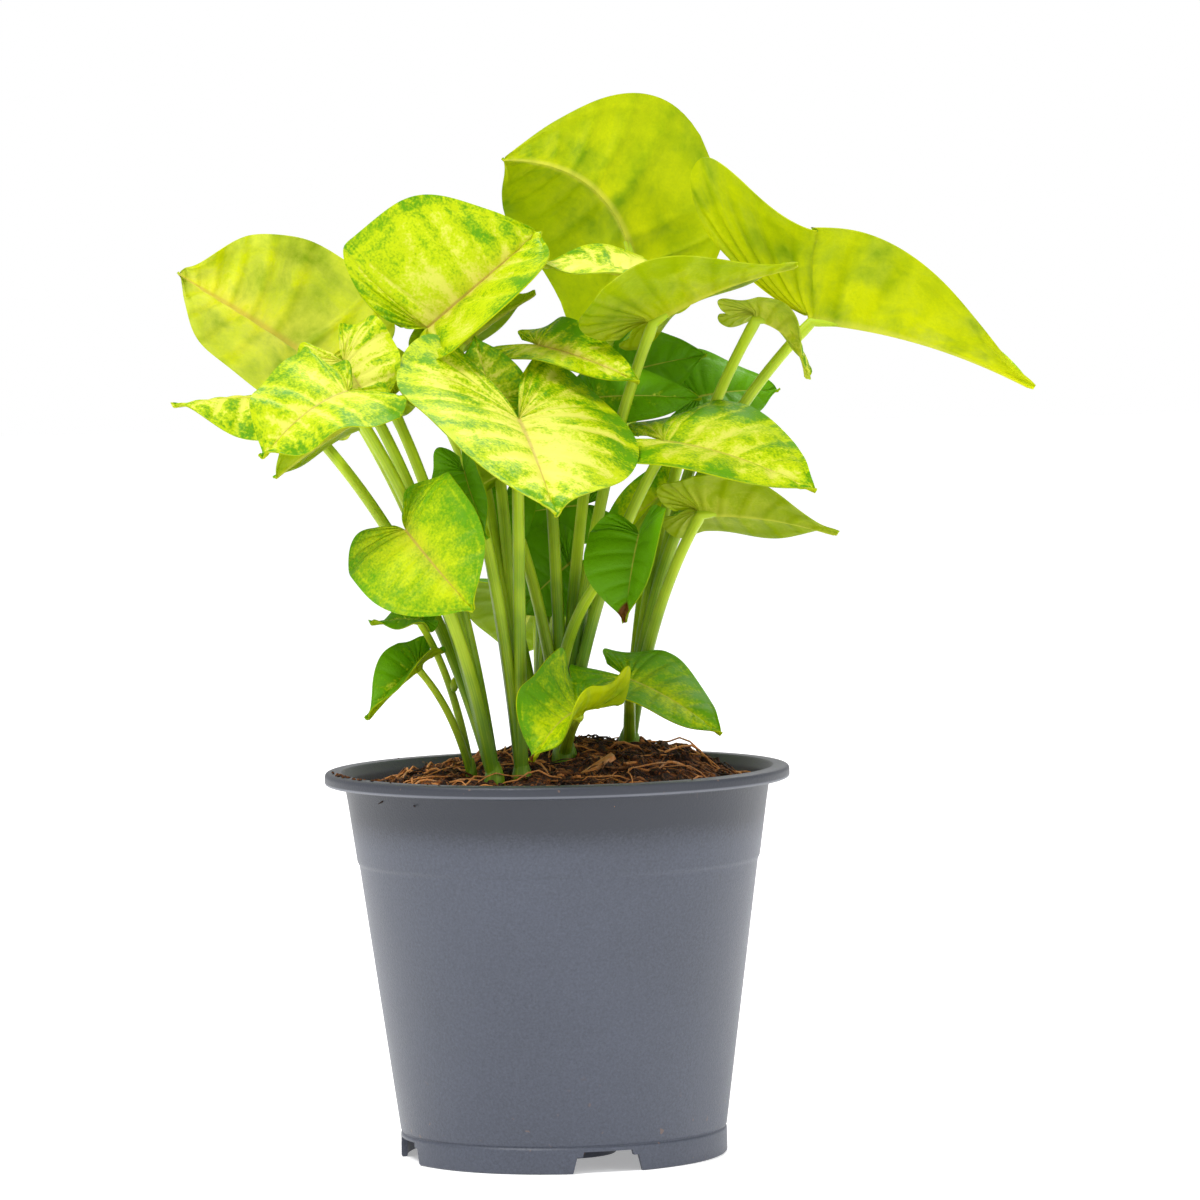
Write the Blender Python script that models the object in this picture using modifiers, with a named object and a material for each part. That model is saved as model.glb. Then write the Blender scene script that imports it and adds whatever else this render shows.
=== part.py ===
"""An arrowhead plant in a plastic nursery pot: the pot, its soil, and a node for each shoot with its leaves.

The model stands on the floor with +Z up and its origin under the middle of the pot.
Every size below is in millimetres, and MM turns it into metres.
"""

import math
from dataclasses import dataclass

import bmesh
import bpy
from mathutils import Vector, noise

MM = 0.001

# Pot: a turned plastic wall with a rolled rim, standing on a notched foot ring
POT_HEIGHT = 100.0
RIM_RADIUS = 60.0
RIM_LIP = 3.2
RIM_EDGE = 1.0
LIP_EDGE = 0.4
LIP_UNDERCUT = 0.8
RIM_MOUTH_RADIUS = 55.8
SHOULDER_RADIUS = 54.05
SHOULDER_HEIGHT = 91.5
BAND_RADIUS = 51.5
BAND_HEIGHT = 75.9
BAND_STEP = 0.5
BAND_STEP_HEIGHT = 0.9
FOOT_RADIUS = 42.2
FOOT_HEIGHT = 6.3
FOOT_WALL = 1.6
FOOT_GROOVE = 0.5
FOOT_EDGE = 0.4
POT_WALL = 1.2
BASE_THICKNESS = 1.6
CENTRE_PAD_RADIUS = 13.4
PAD_SLOPE = 1.2
POT_SIDES = 32
NOTCHES = 4
NOTCH_WIDTH = 18.6
NOTCH_TOP_WIDTH = 15.6
NOTCH_HEIGHT = 5.6
NOTCH_REACH = 6.0
FIRST_NOTCH_ANGLE = -74.5
DRAIN_HOLES = 8
DRAIN_RADIUS = 4.0
DRAIN_CIRCLE = 27.0
HOLE_SIDES = 16

# Soil: what fills the pot, heaped a little in the middle
SOIL_GAP = 0.3
SOIL_EDGE_HEIGHT = 94.0
SOIL_HEAP = 8.5
SOIL_HEAP_RADIUS = 34.0
SOIL_HEAP_CENTRE = (10.0, 14.0)
SOIL_RISE = 2.5
SOIL_SHORE = 0.25
SOIL_LUMP = 1.6
SOIL_LUMP_SPACING = 9.0
SOIL_RINGS = (52.3, 46.0, 37.0, 27.0, 17.0, 8.0, 0.0)
HOLE_DEPTH = 12.0
HOLE_GAP = 0.4

# Leaf: half an outline from tip to inner corner of the back lobe, for a length of 1 from joint to tip, a
# half width of 1 and back lobes 1 long. Each row is (along, across, where its side vein leaves the midrib).
OUTLINE = (
    (1.00, 0.00, 1.00),
    (0.90, 0.13, 0.80),
    (0.74, 0.42, 0.58),
    (0.53, 0.72, 0.37),
    (0.29, 0.92, 0.18),
    (0.04, 1.00, 0.04),
    (-0.35, 0.98, 0.00),
    (-0.72, 0.82, 0.00),
    (-0.97, 0.57, 0.00),
    (-0.94, 0.34, 0.00),
    (-0.68, 0.15, 0.00),
)
VEIN_SWEEP = 0.14
LOBE_TURN = 0.667
MARGIN_WAVER = 0.10
MARGIN_WAVERS = 3.4
HALVES_APART = 1.7
BLADE_THICKNESS = 0.8
ACROSS = (0.0, 0.08, 0.52, 1.0)
ACROSS_OF_SMALL_LEAF = (0.0, 0.5, 1.0)
RIDGE_DEPTH = 1.9
RIDGE_REACH = 0.75
STALK_FOOT = 1.2
STALK_REACH = 0.01
STALK_TUCK = 1.1
STALK_STEPS = 5
SMALL_LEAF = 28.0
ROWS = 10
ROWS_OF_SMALL_LEAF = 8
KNEE_OUT = 0.3
KNEE_UP = 0.62
CROWN_HEIGHT = 5.0
CROWN_SIDES = 12


@dataclass
class Leaf:
    """One leaf. Points are (x, y, z) and angles are degrees. A pair of values is for the left and right half
    of the blade, as someone sees them who stands at the joint and faces the tip."""

    name: str
    joint: tuple
    tip: tuple
    face: tuple
    width: float
    lobes: float
    fold: tuple = (12.0, 12.0)
    curl: tuple = (-14.0, -14.0)
    droop: float = 24.0
    lobe_droop: float = 16.0
    sweep: float = 0.0
    blunt: float = 1.0
    wave: float = 1.3
    waves: float = 2.5
    bow: tuple = (0.0, 0.0, 0.0)
    stalk: float = 1.4


# Shoots: where each crown stands in the soil, how thick it is, and its leaves
SHOOTS = {
    "shoot_front": ((-9.0, -19.0), 2.8, (
        Leaf("hero", (-8, -32, 191), (1, -76, 168), (0.2, -0.5, 0.87), 62, 34,
             fold=(8, 20), curl=(-30, -20), droop=10, lobe_droop=-8),
        Leaf("upper_left", (-31, 4, 214), (-2, 16, 238), (0.47, -0.79, 0.37), 61, 8,
             fold=(0, 70), curl=(-5, 10), lobe_droop=0, blunt=0.58, bow=(0, 14, 0)),
        Leaf("rolled", (-25, 13, 208), (-3, 15, 222), (0.0, 0.6, 0.8), 27, 8, fold=(32, 32)),
        Leaf("tucked", (-22, -26, 178), (-16, -30, 161), (-0.6, -0.6, 0.5), 18, 7, fold=(40, 40)),
        Leaf("under_hero", (-9, -13, 180), (-27, -16, 168), (0.0, 0.5, 0.87), 24, 8),
        Leaf("mid_shaded", (-15, -6, 196), (-19, -10, 212), (0.0, -0.95, 0.3), 20, 7, bow=(0, 9, 0)),
    )),
    "shoot_front_left": ((-16.0, -22.0), 2.8, (
        Leaf("left_arched", (-51, -36, 199), (-72, -56, 183), (-0.25, -0.75, 0.6), 34, 8,
             fold=(12, 20), droop=45, lobe_droop=0, blunt=0.6, wave=2.2, waves=3.5),
        Leaf("left_ruffled", (-52, -22, 206), (-44, -26, 193), (0.0, -0.95, 0.3), 28, 10,
             blunt=0.7, wave=2.0, waves=3.5),
        Leaf("left_hanging", (-41, -12, 196), (-70, -22, 177), (-0.4, 0.7, 0.5), 32, 8, fold=(40, 40)),
        Leaf("left_pale", (-59, 24, 205), (-96, 26, 229), (0.1, 0.95, 0.2), 50, 14,
             fold=(8, 44), blunt=0.45, wave=1.8, waves=4.5),
        Leaf("left_tip", (-67, 4, 196), (-97, -2, 195), (0.0, -0.4, 0.94), 34, 12,
             fold=(-10, -20), curl=(-30, -20), bow=(0, 16, 0)),
        Leaf("yellow_hanging", (-37, -40, 164), (-20, -54, 144), (-0.35, -0.9, 0.3), 36, 9,
             droop=30, blunt=0.65),
    )),
    "shoot_left_small": ((-22.0, -8.0), 1.6, (
        Leaf("low_twisted", (-35, -15, 128), (-48, -26, 115), (-0.3, -0.6, 0.7), 16, 7,
             fold=(50, 50), stalk=0.9),
        Leaf("low_tip", (-34, -17, 140), (-47, -18, 139), (0.0, -0.4, 0.9), 10, 4,
             bow=(0, 8, 0), stalk=0.9),
    )),
    "shoot_centre": ((2.0, -2.0), 3.4, (
        Leaf("right_front", (29, -9, 184), (67, -29, 171), (0.1, -0.55, 0.83), 55, 18,
             fold=(0, 25), blunt=0.85),
        Leaf("tall_centre", (26, 2, 215), (64, -14, 228), (-0.2, 0.3, 0.96), 47, 13, fold=(20, 20)),
        Leaf("young_pink", (-3, 2, 209), (23, -13, 199), (0.3, -0.8, 0.5), 25, 10,
             fold=(0, 30), bow=(0, 4, 0)),
        Leaf("right_shaded", (12, 11, 195), (39, 10, 194), (0.0, -0.85, 0.5), 20, 7),
        Leaf("mid_low", (-12, 3, 170), (-15, 1, 149), (0.0, -0.9, 0.4), 17, 7),
        Leaf("brown_tipped", (22, -27, 161), (18, -33, 139), (-0.3, -0.9, 0.3), 28, 5,
             fold=(55, 5), blunt=0.8, bow=(-12, 0, 0)),
        Leaf("withered", (6, -32, 117), (-6, -45, 105), (-0.2, -0.6, 0.7), 32, 8,
             fold=(20, 20), curl=(70, 60), droop=60, wave=2.2, waves=3.5),
    )),
    "shoot_back_right": ((19.0, 16.0), 3.4, (
        Leaf("high_right", (68, 17, 215), (125, 7, 195), (0.0, 0.0, 1.0), 57, 53,
             fold=(30, 60), lobe_droop=-54, blunt=1.15, bow=(-8, 0, 0)),
        Leaf("curled", (54, 6, 216), (66, 0, 199), (0.2, 0.3, 0.9), 24, 10,
             droop=80, lobe_droop=30, bow=(0, 17, 0)),
        Leaf("right_inner", (39, 34, 194), (60, 40, 195), (0.0, -0.75, 0.65), 28, 11),
        Leaf("right_under", (38, -1, 166), (73, -9, 159), (0.0, 0.5, 0.86), 34, 10),
        Leaf("low_right", (19, -8, 123), (42, -20, 109), (0.1, -0.5, 0.85), 32, 13,
             fold=(5, 20), lobe_droop=0),
        Leaf("back_right", (31, 58, 181), (58, 87, 172), (0.1, 0.3, 0.95), 48, 20),
    )),
    "shoot_back": ((-4.0, 22.0), 3.4, (
        Leaf("top_back", (23, 44, 229), (-11, 43, 257), (0.2, 0.9, 0.3), 67, 14,
             fold=(48, 24), droop=20, blunt=0.48, sweep=9, wave=1.8, bow=(-4, 12, 0)),
        Leaf("cream_middle", (24, 14, 227), (-5, 15, 229), (0.0, -0.2, 0.98), 33, 8,
             lobe_droop=-4, blunt=0.8, bow=(-6, 12, 0)),
        Leaf("dark_middle", (17, 27, 200), (41, 25, 205), (0.1, -0.85, 0.5), 28, 9),
        Leaf("dark_low", (4, 9, 152), (-10, 11, 139), (0.0, -0.9, 0.4), 26, 6),
        Leaf("dark_centre", (9, 17, 167), (-18, 19, 163), (0.0, -0.9, 0.4), 22, 6),
        Leaf("yellow_old", (31, 31, 170), (9, 35, 153), (0.1, -0.9, 0.4), 15, 6),
        Leaf("back_high", (-1, 66, 190), (5, 109, 172), (0.0, 0.3, 0.95), 56, 26),
        Leaf("back_left", (-32, 45, 200), (-62, 71, 194), (-0.1, 0.3, 0.95), 46, 20),
        Leaf("back_low", (-4, 52, 142), (-12, 84, 122), (0.0, 0.5, 0.87), 40, 16),
    )),
}


def mm(*values):
    """Millimetres to a point in metres."""
    return Vector([value * MM for value in values])


def material(name, colour, roughness):
    """A plain painted material with one colour."""
    made = bpy.data.materials.new(name)
    made.use_nodes = True
    shader = made.node_tree.nodes["Principled BSDF"]
    shader.inputs["Base Color"].default_value = (*colour, 1.0)
    shader.inputs["Roughness"].default_value = roughness
    made.diffuse_color = (*colour, 1.0)
    return made


def add_object(name, mesh, collection):
    """A new object that holds this mesh."""
    made = bpy.data.objects.new(name, mesh)
    collection.objects.link(made)
    return made


def solid_copy(source, name, collection):
    """The object as its modifiers leave it, as a plain mesh with welded caps. The source is removed."""
    bpy.context.view_layer.update()
    evaluated = source.evaluated_get(bpy.context.evaluated_depsgraph_get())
    mesh = bpy.data.meshes.new_from_object(evaluated)
    shape = bmesh.new()
    shape.from_mesh(mesh)
    bmesh.ops.remove_doubles(shape, verts=shape.verts, dist=1e-6)
    shape.to_mesh(mesh)
    shape.free()
    made = add_object(name, mesh, collection)
    made.matrix_world = source.matrix_world
    bpy.data.objects.remove(source)
    return made


def turned(name, profile, sides, collection):
    """A closed profile of (radius, height) points, turned round the Z axis. It starts down its outer side."""
    mesh = bpy.data.meshes.new(name)
    points = [mm(radius, 0.0, height) for radius, height in profile]
    edges = [(i, (i + 1) % len(points)) for i in range(len(points))]
    on_axis = [i for i, (radius, _) in enumerate(profile) if radius == 0.0]
    edges = [edge for edge in edges if not (edge[0] in on_axis and edge[1] in on_axis)]
    mesh.from_pydata(points, edges, [])
    made = add_object(name, mesh, collection)
    screw = made.modifiers.new("Screw", "SCREW")
    screw.steps = sides
    screw.render_steps = sides
    screw.use_merge_vertices = True
    screw.merge_threshold = 0.00001
    return made


def cut(target, cutters, name):
    """Takes every object of the cutters' collection away from the target."""
    boolean = target.modifiers.new(name, "BOOLEAN")
    boolean.operation = "DIFFERENCE"
    boolean.operand_type = "COLLECTION"
    boolean.collection = cutters
    return boolean


def helper_collection(name):
    """A collection for cutters, which aren't part of the plant."""
    made = bpy.data.collections.new(name)
    bpy.context.scene.collection.children.link(made)
    return made


def as_cutter(obj):
    obj.hide_render = True
    obj.display_type = "WIRE"


def cylinder(name, radius, bottom, top, place, sides, collection):
    """An upright cylinder between two heights."""
    shape = bmesh.new()
    depth = (top - bottom) * MM
    radius = radius * MM
    bmesh.ops.create_cone(shape, cap_ends=True, segments=sides, radius1=radius, radius2=radius, depth=depth)
    mesh = bpy.data.meshes.new(name)
    shape.to_mesh(mesh)
    shape.free()
    made = add_object(name, mesh, collection)
    made.location = mm(*place, (top + bottom) / 2)
    return made


# Pot


def pot_outside():
    """The pot's outer side, from the top of its rim down to the middle of its underside."""
    lip_bottom = POT_HEIGHT - RIM_LIP
    return [
        (RIM_RADIUS - RIM_EDGE, POT_HEIGHT),
        (RIM_RADIUS - RIM_EDGE / 4, POT_HEIGHT - RIM_EDGE / 3),
        (RIM_RADIUS, POT_HEIGHT - RIM_EDGE),
        (RIM_RADIUS, lip_bottom + LIP_EDGE),
        (RIM_RADIUS - LIP_EDGE, lip_bottom),
        (SHOULDER_RADIUS + LIP_UNDERCUT, lip_bottom - LIP_EDGE),
        (SHOULDER_RADIUS, SHOULDER_HEIGHT),
        (BAND_RADIUS + BAND_STEP, BAND_HEIGHT + BAND_STEP_HEIGHT),
        (BAND_RADIUS, BAND_HEIGHT),
        (FOOT_RADIUS, FOOT_HEIGHT + 2 * FOOT_GROOVE),
        (FOOT_RADIUS - FOOT_GROOVE, FOOT_HEIGHT + FOOT_GROOVE),
        (FOOT_RADIUS, FOOT_HEIGHT),
        (FOOT_RADIUS, FOOT_EDGE),
        (FOOT_RADIUS - FOOT_EDGE, 0.0),
        (FOOT_RADIUS - FOOT_WALL, 0.0),
        (FOOT_RADIUS - FOOT_WALL, FOOT_HEIGHT),
        (CENTRE_PAD_RADIUS + PAD_SLOPE, FOOT_HEIGHT),
        (CENTRE_PAD_RADIUS, 0.0),
        (0.0, 0.0),
    ]


def pot_inside():
    """The pot's inner side, from the middle of its floor up to the mouth."""
    floor = FOOT_HEIGHT + BASE_THICKNESS
    return [
        (0.0, BASE_THICKNESS),
        (CENTRE_PAD_RADIUS - POT_WALL, BASE_THICKNESS),
        (CENTRE_PAD_RADIUS - POT_WALL + PAD_SLOPE / 2, floor),
        (FOOT_RADIUS - POT_WALL - FOOT_GROOVE, floor),
        (FOOT_RADIUS - POT_WALL, floor + POT_WALL),
        (BAND_RADIUS - POT_WALL, BAND_HEIGHT),
        (BAND_RADIUS + BAND_STEP - POT_WALL, BAND_HEIGHT + BAND_STEP_HEIGHT),
        (SHOULDER_RADIUS - POT_WALL, SHOULDER_HEIGHT),
        (SHOULDER_RADIUS, POT_HEIGHT - RIM_LIP + LIP_UNDERCUT),
        (RIM_MOUTH_RADIUS - LIP_EDGE, POT_HEIGHT - LIP_EDGE),
        (RIM_MOUTH_RADIUS, POT_HEIGHT),
    ]


def make_pot(parts):
    pot = turned("pot", pot_outside() + pot_inside(), POT_SIDES, parts)
    cutters = helper_collection("pot_cutters")
    add_notch_cutters(cutters)
    add_drain_cutters(cutters)
    cut(pot, cutters, "notches and drain holes")
    pot.data.materials.append(material("grey_plastic", (0.14, 0.16, 0.19), 0.5))
    return pot


def add_notch_cutters(cutters):
    """Tapered blocks that open the foot ring, evenly spaced round it."""
    for number in range(NOTCHES):
        shape = bmesh.new()
        bmesh.ops.create_cube(shape, size=1.0)
        for vertex in shape.verts:
            width = NOTCH_TOP_WIDTH if vertex.co.z > 0 else NOTCH_WIDTH
            height = NOTCH_HEIGHT if vertex.co.z > 0 else -FOOT_EDGE
            from_axis = FOOT_RADIUS - FOOT_WALL / 2 + vertex.co.x * NOTCH_REACH
            vertex.co = mm(from_axis, vertex.co.y * width, height)
        mesh = bpy.data.meshes.new("notch_cutter")
        shape.to_mesh(mesh)
        shape.free()
        cutter = add_object(f"notch_cutter_{number}", mesh, cutters)
        cutter.rotation_euler.z = math.radians(FIRST_NOTCH_ANGLE + 360.0 / NOTCHES * number)
        as_cutter(cutter)


def add_drain_cutters(cutters):
    for number in range(DRAIN_HOLES):
        angle = math.tau * (number + 0.5) / DRAIN_HOLES
        place = (DRAIN_CIRCLE * math.cos(angle), DRAIN_CIRCLE * math.sin(angle))
        bottom, top = FOOT_HEIGHT - BASE_THICKNESS, FOOT_HEIGHT + 2 * BASE_THICKNESS
        as_cutter(cylinder(f"drain_cutter_{number}", DRAIN_RADIUS, bottom, top, place, HOLE_SIDES, cutters))


# Soil


def soil_top(x, y):
    """Height of the soil's surface: level with the rim at the edge, heaped round the plants, and lumpy."""
    from_edge = 1.0 - min(1.0, math.hypot(x, y) / SOIL_RINGS[0])
    away_from_wall = min(1.0, from_edge / SOIL_SHORE)
    from_heap = math.hypot(x - SOIL_HEAP_CENTRE[0], y - SOIL_HEAP_CENTRE[1])
    heap = SOIL_HEAP * math.exp(-((from_heap / SOIL_HEAP_RADIUS) ** 2))
    lump = SOIL_LUMP * noise.noise(Vector((x, y, 0.0)) / SOIL_LUMP_SPACING)
    return SOIL_EDGE_HEIGHT + away_from_wall * (SOIL_RISE + heap + lump)


def make_soil(parts):
    outside = [(radius, SOIL_EDGE_HEIGHT) for radius in reversed(SOIL_RINGS)]
    wall = [(radius - SOIL_GAP, height) for radius, height in reversed(pot_inside()[3:8])]
    floor = FOOT_HEIGHT + BASE_THICKNESS + SOIL_GAP
    wall = [(radius, max(height, floor)) for radius, height in wall]
    plug_radius = CENTRE_PAD_RADIUS - POT_WALL - SOIL_GAP
    plug_bottom = BASE_THICKNESS + SOIL_GAP
    plug = [(plug_radius + PAD_SLOPE / 2, floor), (plug_radius, plug_bottom), (0.0, plug_bottom)]
    profile = outside + wall + plug
    lathe = turned("soil_lathe", profile, POT_SIDES, parts)
    soil = solid_copy(lathe, "soil", parts)
    for vertex in soil.data.vertices:
        x, y, z = vertex.co / MM
        if z > SOIL_EDGE_HEIGHT - SOIL_GAP:
            vertex.co.z = soil_top(x, y) * MM
    holes = helper_collection("soil_holes")
    for name, (place, radius, _) in SHOOTS.items():
        bottom = soil_top(*place) - HOLE_DEPTH
        top = soil_top(*place) + HOLE_DEPTH
        as_cutter(cylinder(f"hole_{name}", radius + HOLE_GAP, bottom, top, place, HOLE_SIDES, holes))
    cut(soil, holes, "plain holes for the shoots")
    soil.data.materials.append(material("brown_peat", (0.06, 0.035, 0.02), 0.95))
    return soil


# Leaves


def through(points, at):
    """A smooth curve through the points, read at 0 for the first and 1 for the last."""
    last = len(points) - 1
    index = min(int(at * last), last - 1)
    step = at * last - index
    a, b, c, d = (Vector(points[min(max(index + k, 0), last)]) for k in (-1, 0, 1, 2))
    if index == 0:
        a = 2.0 * b - c
    if index + 1 == last:
        d = 2.0 * c - b
    square = 2 * a - 5 * b + 4 * c - d
    cube = 3 * b - a - 3 * c + d
    return 0.5 * (2 * b + (c - a) * step + square * step**2 + cube * step**3)


def arc(angle, length, start=0.0):
    """Where a line that turns evenly through an angle gets to: (along, up)."""
    if abs(angle) < 1e-6:
        return length * math.cos(start), length * math.sin(start)
    return (
        length * (math.sin(start + angle) - math.sin(start)) / angle,
        length * (math.cos(start) - math.cos(start + angle)) / angle,
    )


class Form:
    """How one leaf's flat outline is bent and placed."""

    def __init__(self, leaf):
        self.leaf = leaf
        self.joint = Vector(leaf.joint)
        chord = Vector(leaf.tip) - self.joint
        self.droop = math.radians(leaf.droop)
        half_droop = self.droop / 2.0
        self.length = chord.length * (half_droop / math.sin(half_droop) if half_droop else 1.0)
        self.ahead = chord.normalized()
        face = Vector(leaf.face)
        self.up = (face - self.ahead * face.dot(self.ahead)).normalized()
        self.side = self.up.cross(self.ahead)
        self.local_ahead = Vector((math.cos(half_droop), 0.0, -math.sin(half_droop)))
        self.local_up = Vector((math.sin(half_droop), 0.0, math.cos(half_droop)))

    def bend(self, x, y, z):
        """Droops a point of the folded blade, and puts it in its place."""
        if x >= 0.0:
            tilt = -self.droop * x / self.length
            along, up = arc(tilt, x)
        else:
            tilt = math.radians(self.leaf.lobe_droop) * math.sqrt(-x / self.leaf.lobes)
            along, up = arc(-tilt * LOBE_TURN, -x, -tilt * (1.0 - LOBE_TURN))
            along = -along
        y += 4.0 * self.leaf.sweep * (x / self.length) * (1.0 - x / self.length)
        point = Vector((along - z * math.sin(tilt), y, up + z * math.cos(tilt)))
        return (
            self.joint
            + self.ahead * point.dot(self.local_ahead)
            + self.side * point.y
            + self.up * point.dot(self.local_up)
        )

    def blade(self, across, along):
        """A point of the blade. Across runs from -1 at the right margin to 1 at the left, and along runs from
        0 at the tip to 1 at the back lobe."""
        leaf = self.leaf
        x, y, foot = through(OUTLINE, along)
        share = abs(across)
        foot = self.length * max(foot, 0.0) ** leaf.blunt
        hand = 0 if across > 0.0 else 1
        waver = noise.noise(Vector((MARGIN_WAVERS * along, HALVES_APART * hand, self.joint.x)))
        half_width = leaf.width / 2.0 * (1.0 + MARGIN_WAVER * waver)
        edge = Vector((self.length * x**leaf.blunt if x > 0.0 else x * leaf.lobes, y * half_width))
        x = foot + (edge.x - foot) * share - VEIN_SWEEP * share * (1.0 - share) * edge.y
        y = edge.y * share
        fold = math.radians(leaf.fold[hand])
        curl = math.radians(leaf.curl[hand]) * 2.0 * y / leaf.width
        out, up = arc(curl, y, fold)
        up += leaf.wave * share**2 * math.sin(math.tau * leaf.waves * along + HALVES_APART * hand)
        return self.bend(x, math.copysign(out, across), up)

    def midrib(self, along, below):
        """A point under the midrib, with along from 0 at the joint to 1 at the tip."""
        return self.bend(along * self.length, 0.0, -below)

    def stalk_end(self):
        return self.midrib(STALK_REACH, self.leaf.stalk * STALK_TUCK)

    def stalk_path(self, crown, steps):
        """The stalk's middle line, from inside the crown up to the blade."""
        foot = Vector((*crown, soil_top(*crown)))
        end = self.stalk_end()
        rise = end - foot
        knee = foot + Vector((KNEE_OUT * rise.x, KNEE_OUT * rise.y, KNEE_UP * rise.z))
        knee += Vector(self.leaf.bow)
        shares = [step / steps for step in range(steps + 1)]
        return [(1 - s) ** 2 * foot + 2 * s * (1 - s) * knee + s**2 * end for s in shares]


def make_blade(form, rows, shares, name, collection):
    """The thin blade: an open sheet with a thickness, which grows under the midrib into a ridge."""
    deepest = form.leaf.stalk * RIDGE_DEPTH
    columns = len(shares) - 1
    shape = bmesh.new()
    bmesh.ops.create_grid(shape, x_segments=2 * columns, y_segments=rows, size=1.0)
    ridge = shape.verts.layers.deform.verify()
    for vertex in shape.verts:
        across = math.copysign(shares[round(abs(vertex.co.x) * columns)], vertex.co.x)
        along = (vertex.co.y + 1.0) / 2.0
        if across == 0.0:
            vertex[ridge][0] = max(0.0, 1.0 - through(OUTLINE, along)[2] / RIDGE_REACH)
        vertex.co = form.blade(across, along) * MM
    bmesh.ops.remove_doubles(shape, verts=shape.verts, dist=1e-6)
    bmesh.ops.triangulate(shape, faces=shape.faces)
    mesh = bpy.data.meshes.new(name)
    shape.to_mesh(mesh)
    shape.free()
    made = add_object(name, mesh, collection)
    made.vertex_groups.new(name="midrib")
    solidify = made.modifiers.new("Solidify", "SOLIDIFY")
    solidify.thickness = deepest * MM
    solidify.vertex_group = "midrib"
    solidify.thickness_vertex_group = BLADE_THICKNESS / deepest
    solidify.offset = -1.0
    return solid_copy(made, name, collection)


def make_tube(points, radii, name, collection):
    """A six-sided tube through the points with its own radius at each."""
    curve = bpy.data.curves.new(name, "CURVE")
    curve.dimensions = "3D"
    curve.bevel_depth = MM
    curve.bevel_resolution = 1
    curve.use_fill_caps = True
    spline = curve.splines.new("POLY")
    spline.points.add(len(points) - 1)
    for target, point, radius in zip(spline.points, points, radii):
        target.co = (*(point * MM), 1.0)
        target.radius = radius
    return solid_copy(add_object(name, curve, collection), name, collection)


def make_leaf(leaf, crown, collection):
    form = Form(leaf)
    if leaf.width < SMALL_LEAF:
        make_blade(form, ROWS_OF_SMALL_LEAF, ACROSS_OF_SMALL_LEAF, leaf.name + "_blade", collection)
    else:
        make_blade(form, ROWS, ACROSS, leaf.name + "_blade", collection)
    stalk = form.stalk_path(crown, STALK_STEPS)
    shares = [step / STALK_STEPS for step in range(STALK_STEPS + 1)]
    radii = [leaf.stalk * (STALK_FOOT + (1.0 - STALK_FOOT) * share) for share in shares]
    make_tube(stalk, radii, leaf.name + "_stalk", collection)


def make_shoot(name, crown, radius, leaves, parts, green):
    """One shoot: a short crown in the soil with all its leaves joined to it."""
    pieces = helper_collection(name + "_pieces")
    for leaf in leaves:
        make_leaf(leaf, crown, pieces)
    ground = soil_top(*crown)
    bottom = ground - HOLE_DEPTH + HOLE_GAP
    shoot = cylinder(name, radius, bottom, ground + CROWN_HEIGHT, crown, CROWN_SIDES, parts)
    union = shoot.modifiers.new("one grown piece", "BOOLEAN")
    union.operation = "UNION"
    union.operand_type = "COLLECTION"
    union.collection = pieces
    union.solver = "MANIFOLD"
    joined = solid_copy(shoot, name, parts)
    joined.name = name
    for piece in list(pieces.objects):
        bpy.data.objects.remove(piece)
    bpy.data.collections.remove(pieces)
    joined.data.materials.append(green)


def main():
    for obj in list(bpy.data.objects):
        bpy.data.objects.remove(obj)
    parts = bpy.data.collections.new("arrowhead_plant")
    bpy.context.scene.collection.children.link(parts)
    green = material("leaf_green", (0.22, 0.42, 0.04), 0.45)
    for name, (crown, radius, leaves) in SHOOTS.items():
        make_shoot(name, crown, radius, leaves, parts, green)
    make_soil(parts)
    make_pot(parts)


main()
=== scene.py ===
"""Looks of an arrowhead plant in its nursery pot: fine leaves, stalks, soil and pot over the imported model.

Sizes below are in millimetres, and MM turns them into metres. The outline, the shoots and the way a blade is
bent are the same as in the part's own source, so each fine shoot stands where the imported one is.
"""

import math
import random
from contextlib import contextmanager
from dataclasses import dataclass

import bmesh
import bpy
import numpy as np
from mathutils import Matrix, Vector, noise


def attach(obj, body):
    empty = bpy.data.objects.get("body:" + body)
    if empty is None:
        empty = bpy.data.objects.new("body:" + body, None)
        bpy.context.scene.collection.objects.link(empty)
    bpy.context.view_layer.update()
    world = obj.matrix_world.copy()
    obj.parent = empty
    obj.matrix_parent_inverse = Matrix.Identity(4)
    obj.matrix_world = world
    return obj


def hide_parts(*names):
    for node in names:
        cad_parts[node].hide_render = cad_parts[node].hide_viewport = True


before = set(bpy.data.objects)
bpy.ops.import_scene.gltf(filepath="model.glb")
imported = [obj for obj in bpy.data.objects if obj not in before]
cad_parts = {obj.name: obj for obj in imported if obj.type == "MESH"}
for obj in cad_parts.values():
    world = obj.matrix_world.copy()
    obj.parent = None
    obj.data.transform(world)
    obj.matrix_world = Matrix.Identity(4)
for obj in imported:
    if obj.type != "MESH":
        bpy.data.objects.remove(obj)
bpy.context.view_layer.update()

MM = 0.001

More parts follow.
